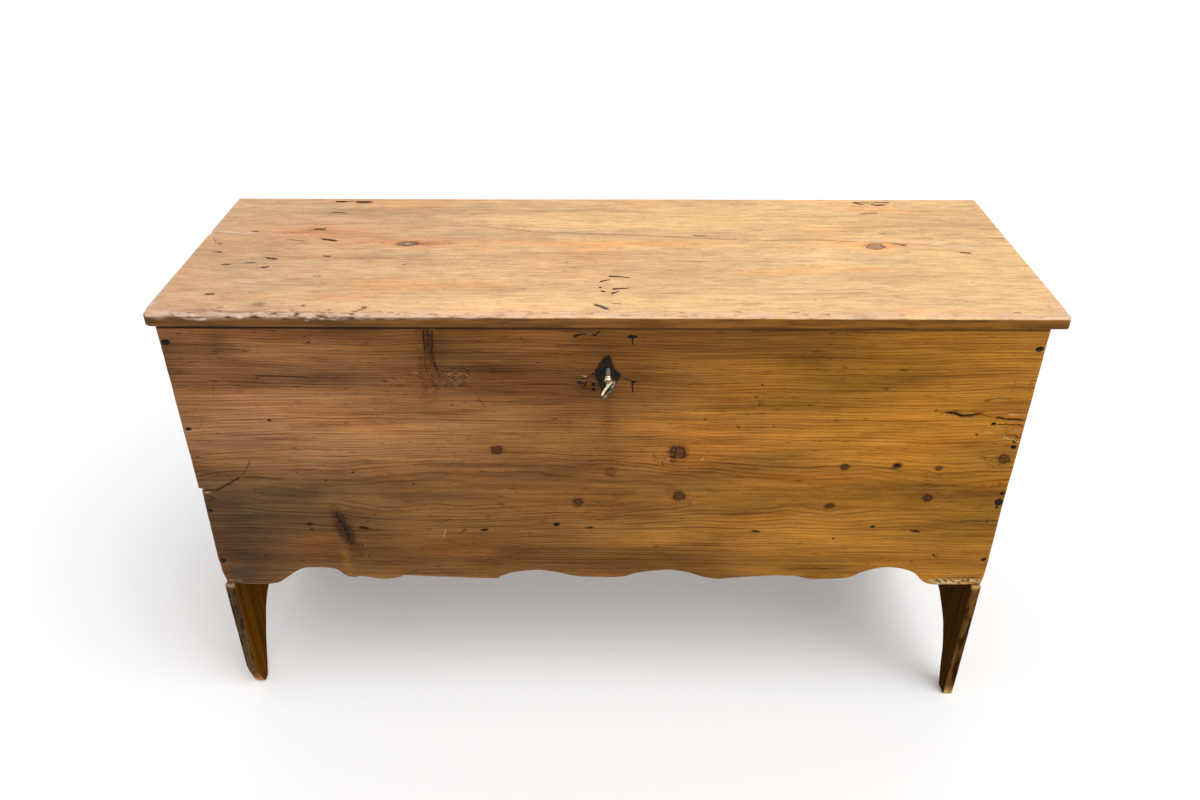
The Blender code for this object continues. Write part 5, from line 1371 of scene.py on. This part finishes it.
finish(lid, ["lid"], "lid", old_pine(
    "lid_rubbed_pine", "XYZ", (0.06, 0.72), 0.0060, (0.82, 0.52, 0.255), (0.68, 0.40, 0.185),
    (0.30, 0.175, 0.085), (0.7566, 0.7559), (0.68, 0.515, 0.42), 47.0,
    knots=measured(lid_knots, 4, across=front_face),
    contrast=(0.40, 0.22, 0.42, 0.72), short=2.2, scuffs=0.7, patches=0.8,
    edge=((0.195, 0.082, 0.017), (0.235, 0.088, 0.0082), (0.7728, 0.7708)), sheen=0.52,
    knot=((0.18, 0.140, 0.105), (0.96, 0.80, 0.66), (0.06, 0.046, 0.038))))


# Snipe hinges: two pairs of iron wire eyes linked through each other. One eye's legs are driven up through
# the lid and the other's through the back, and each leg is turned over on the far side.
forged("lid_hinge_wires", ["left_lid_cotter", "right_lid_cotter"], "lid", iron, 0.0, 0.0002)
forged("back_hinge_wires", ["left_back_cotter", "right_back_cotter"], "carcass", iron, 0.0, 0.0002)


# Hasp: a forged strap under the lid with a loop that drops into the lock. Its six nails are driven up
# through the lid and clinched there.
forged("hasp_strap", ["hasp"], "lid", iron, 0.0004, 0.0002)
hasp_bends = (((-5, 65), (-1, 63), (2, 63.2)), ((10, 57), (15, 60), (21, 65)),
              ((-7.5, 77), (-5.5, 77.4), (-4, 77)), ((12, 71.4), (24, 73.6), (36, 75)),
              ((-6.5, 96.5), (0, 100.5), (8, 103.5)), ((6, 115.4), (21, 114), (38, 110.6)))
hasp_nails = []
for node in (f"hasp_nail_{number}" for number in (1, 2, 3, 4, 5, 6)):
    low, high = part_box(node)
    left = low.x + high.x < 2 * key_x
    spot = Vector((high.x - shank_inset if left else low.x + shank_inset, (low.y + high.y) / 2))
    hasp_nails.append((node, spot))
hasp_nails.sort(key=lambda nail: (round(nail[1].y, 3), nail[1].x))
hasp_nails = [(*nail, measured(bend, across=front_face)) for nail, bend in zip(hasp_nails, hasp_bends)]
bent_nails("hasp_nails", hasp_nails, "lid", lying(lid_high.z), lid_high.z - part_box("hasp_nail_6")[0].z)


# Floor, light and camera: a plain pale floor under soft daylight from the right and the front, and the
# camera where the photograph was taken from.
floor_mesh = bpy.data.meshes.new("floor")
floor_mesh.from_pydata([(-14, -8, 0), (14, -8, 0), (14, 16, 0), (-14, 16, 0)], [], [(0, 1, 2, 3)])
floor = add_object("floor", floor_mesh)
pale_floor, place = new_material("pale_floor")
paint = place.node("BsdfDiffuse", sockets={"Color": (0.95, 0.95, 0.95), "Roughness": 0.0})
place.node("OutputMaterial", sockets={"Surface": paint})
floor_mesh.materials.append(pale_floor)

scene = bpy.context.scene
scene.view_settings.view_transform = "Standard"
world = bpy.data.worlds.new("studio")
scene.world = world
world.use_nodes = True
world.node_tree.nodes.clear()
path = Tint(world.node_tree).node("LightPath", out="Is Camera Ray")
seen = path.most(path.out("Is Glossy Ray")).most(path.out("Is Transmission Ray"))
sky_level, white_level = 0.58, 1.0
level = seen * (white_level - sky_level) + sky_level
back_light = path.node("Background", sockets={"Color": (1.0, 1.0, 1.0), "Strength": level})
path.node("OutputWorld", sockets={"Surface": back_light})

daylight = bpy.data.lights.new("daylight", "SUN")
daylight.energy = 2.2
daylight.angle = math.radians(60)
lamp = add_object("daylight", daylight)
lamp.rotation_euler = Vector((0.38, -0.45, 0.80)).to_track_quat("Z", "Y").to_euler()

view = bpy.data.cameras.new("view")
view.sensor_width = 36.0
view.lens = 30.1613
pitch, yaw, roll = (math.radians(angle) for angle in (32.297, -0.554, 0.069))
ahead = Vector((math.sin(yaw) * math.cos(pitch), math.cos(yaw) * math.cos(pitch), -math.sin(pitch)))
level_right = Vector((math.cos(yaw), -math.sin(yaw), 0.0))
right = level_right * math.cos(roll) + ahead.cross(level_right) * math.sin(roll)
upright = right.cross(ahead)
turn = Matrix((right, upright, -ahead)).transposed().to_4x4()
view_place = (0.005888, -1.442549, 1.425337)
camera = add_object("view", view)
camera.matrix_world = Matrix.Translation(view_place) @ turn
scene.camera = camera
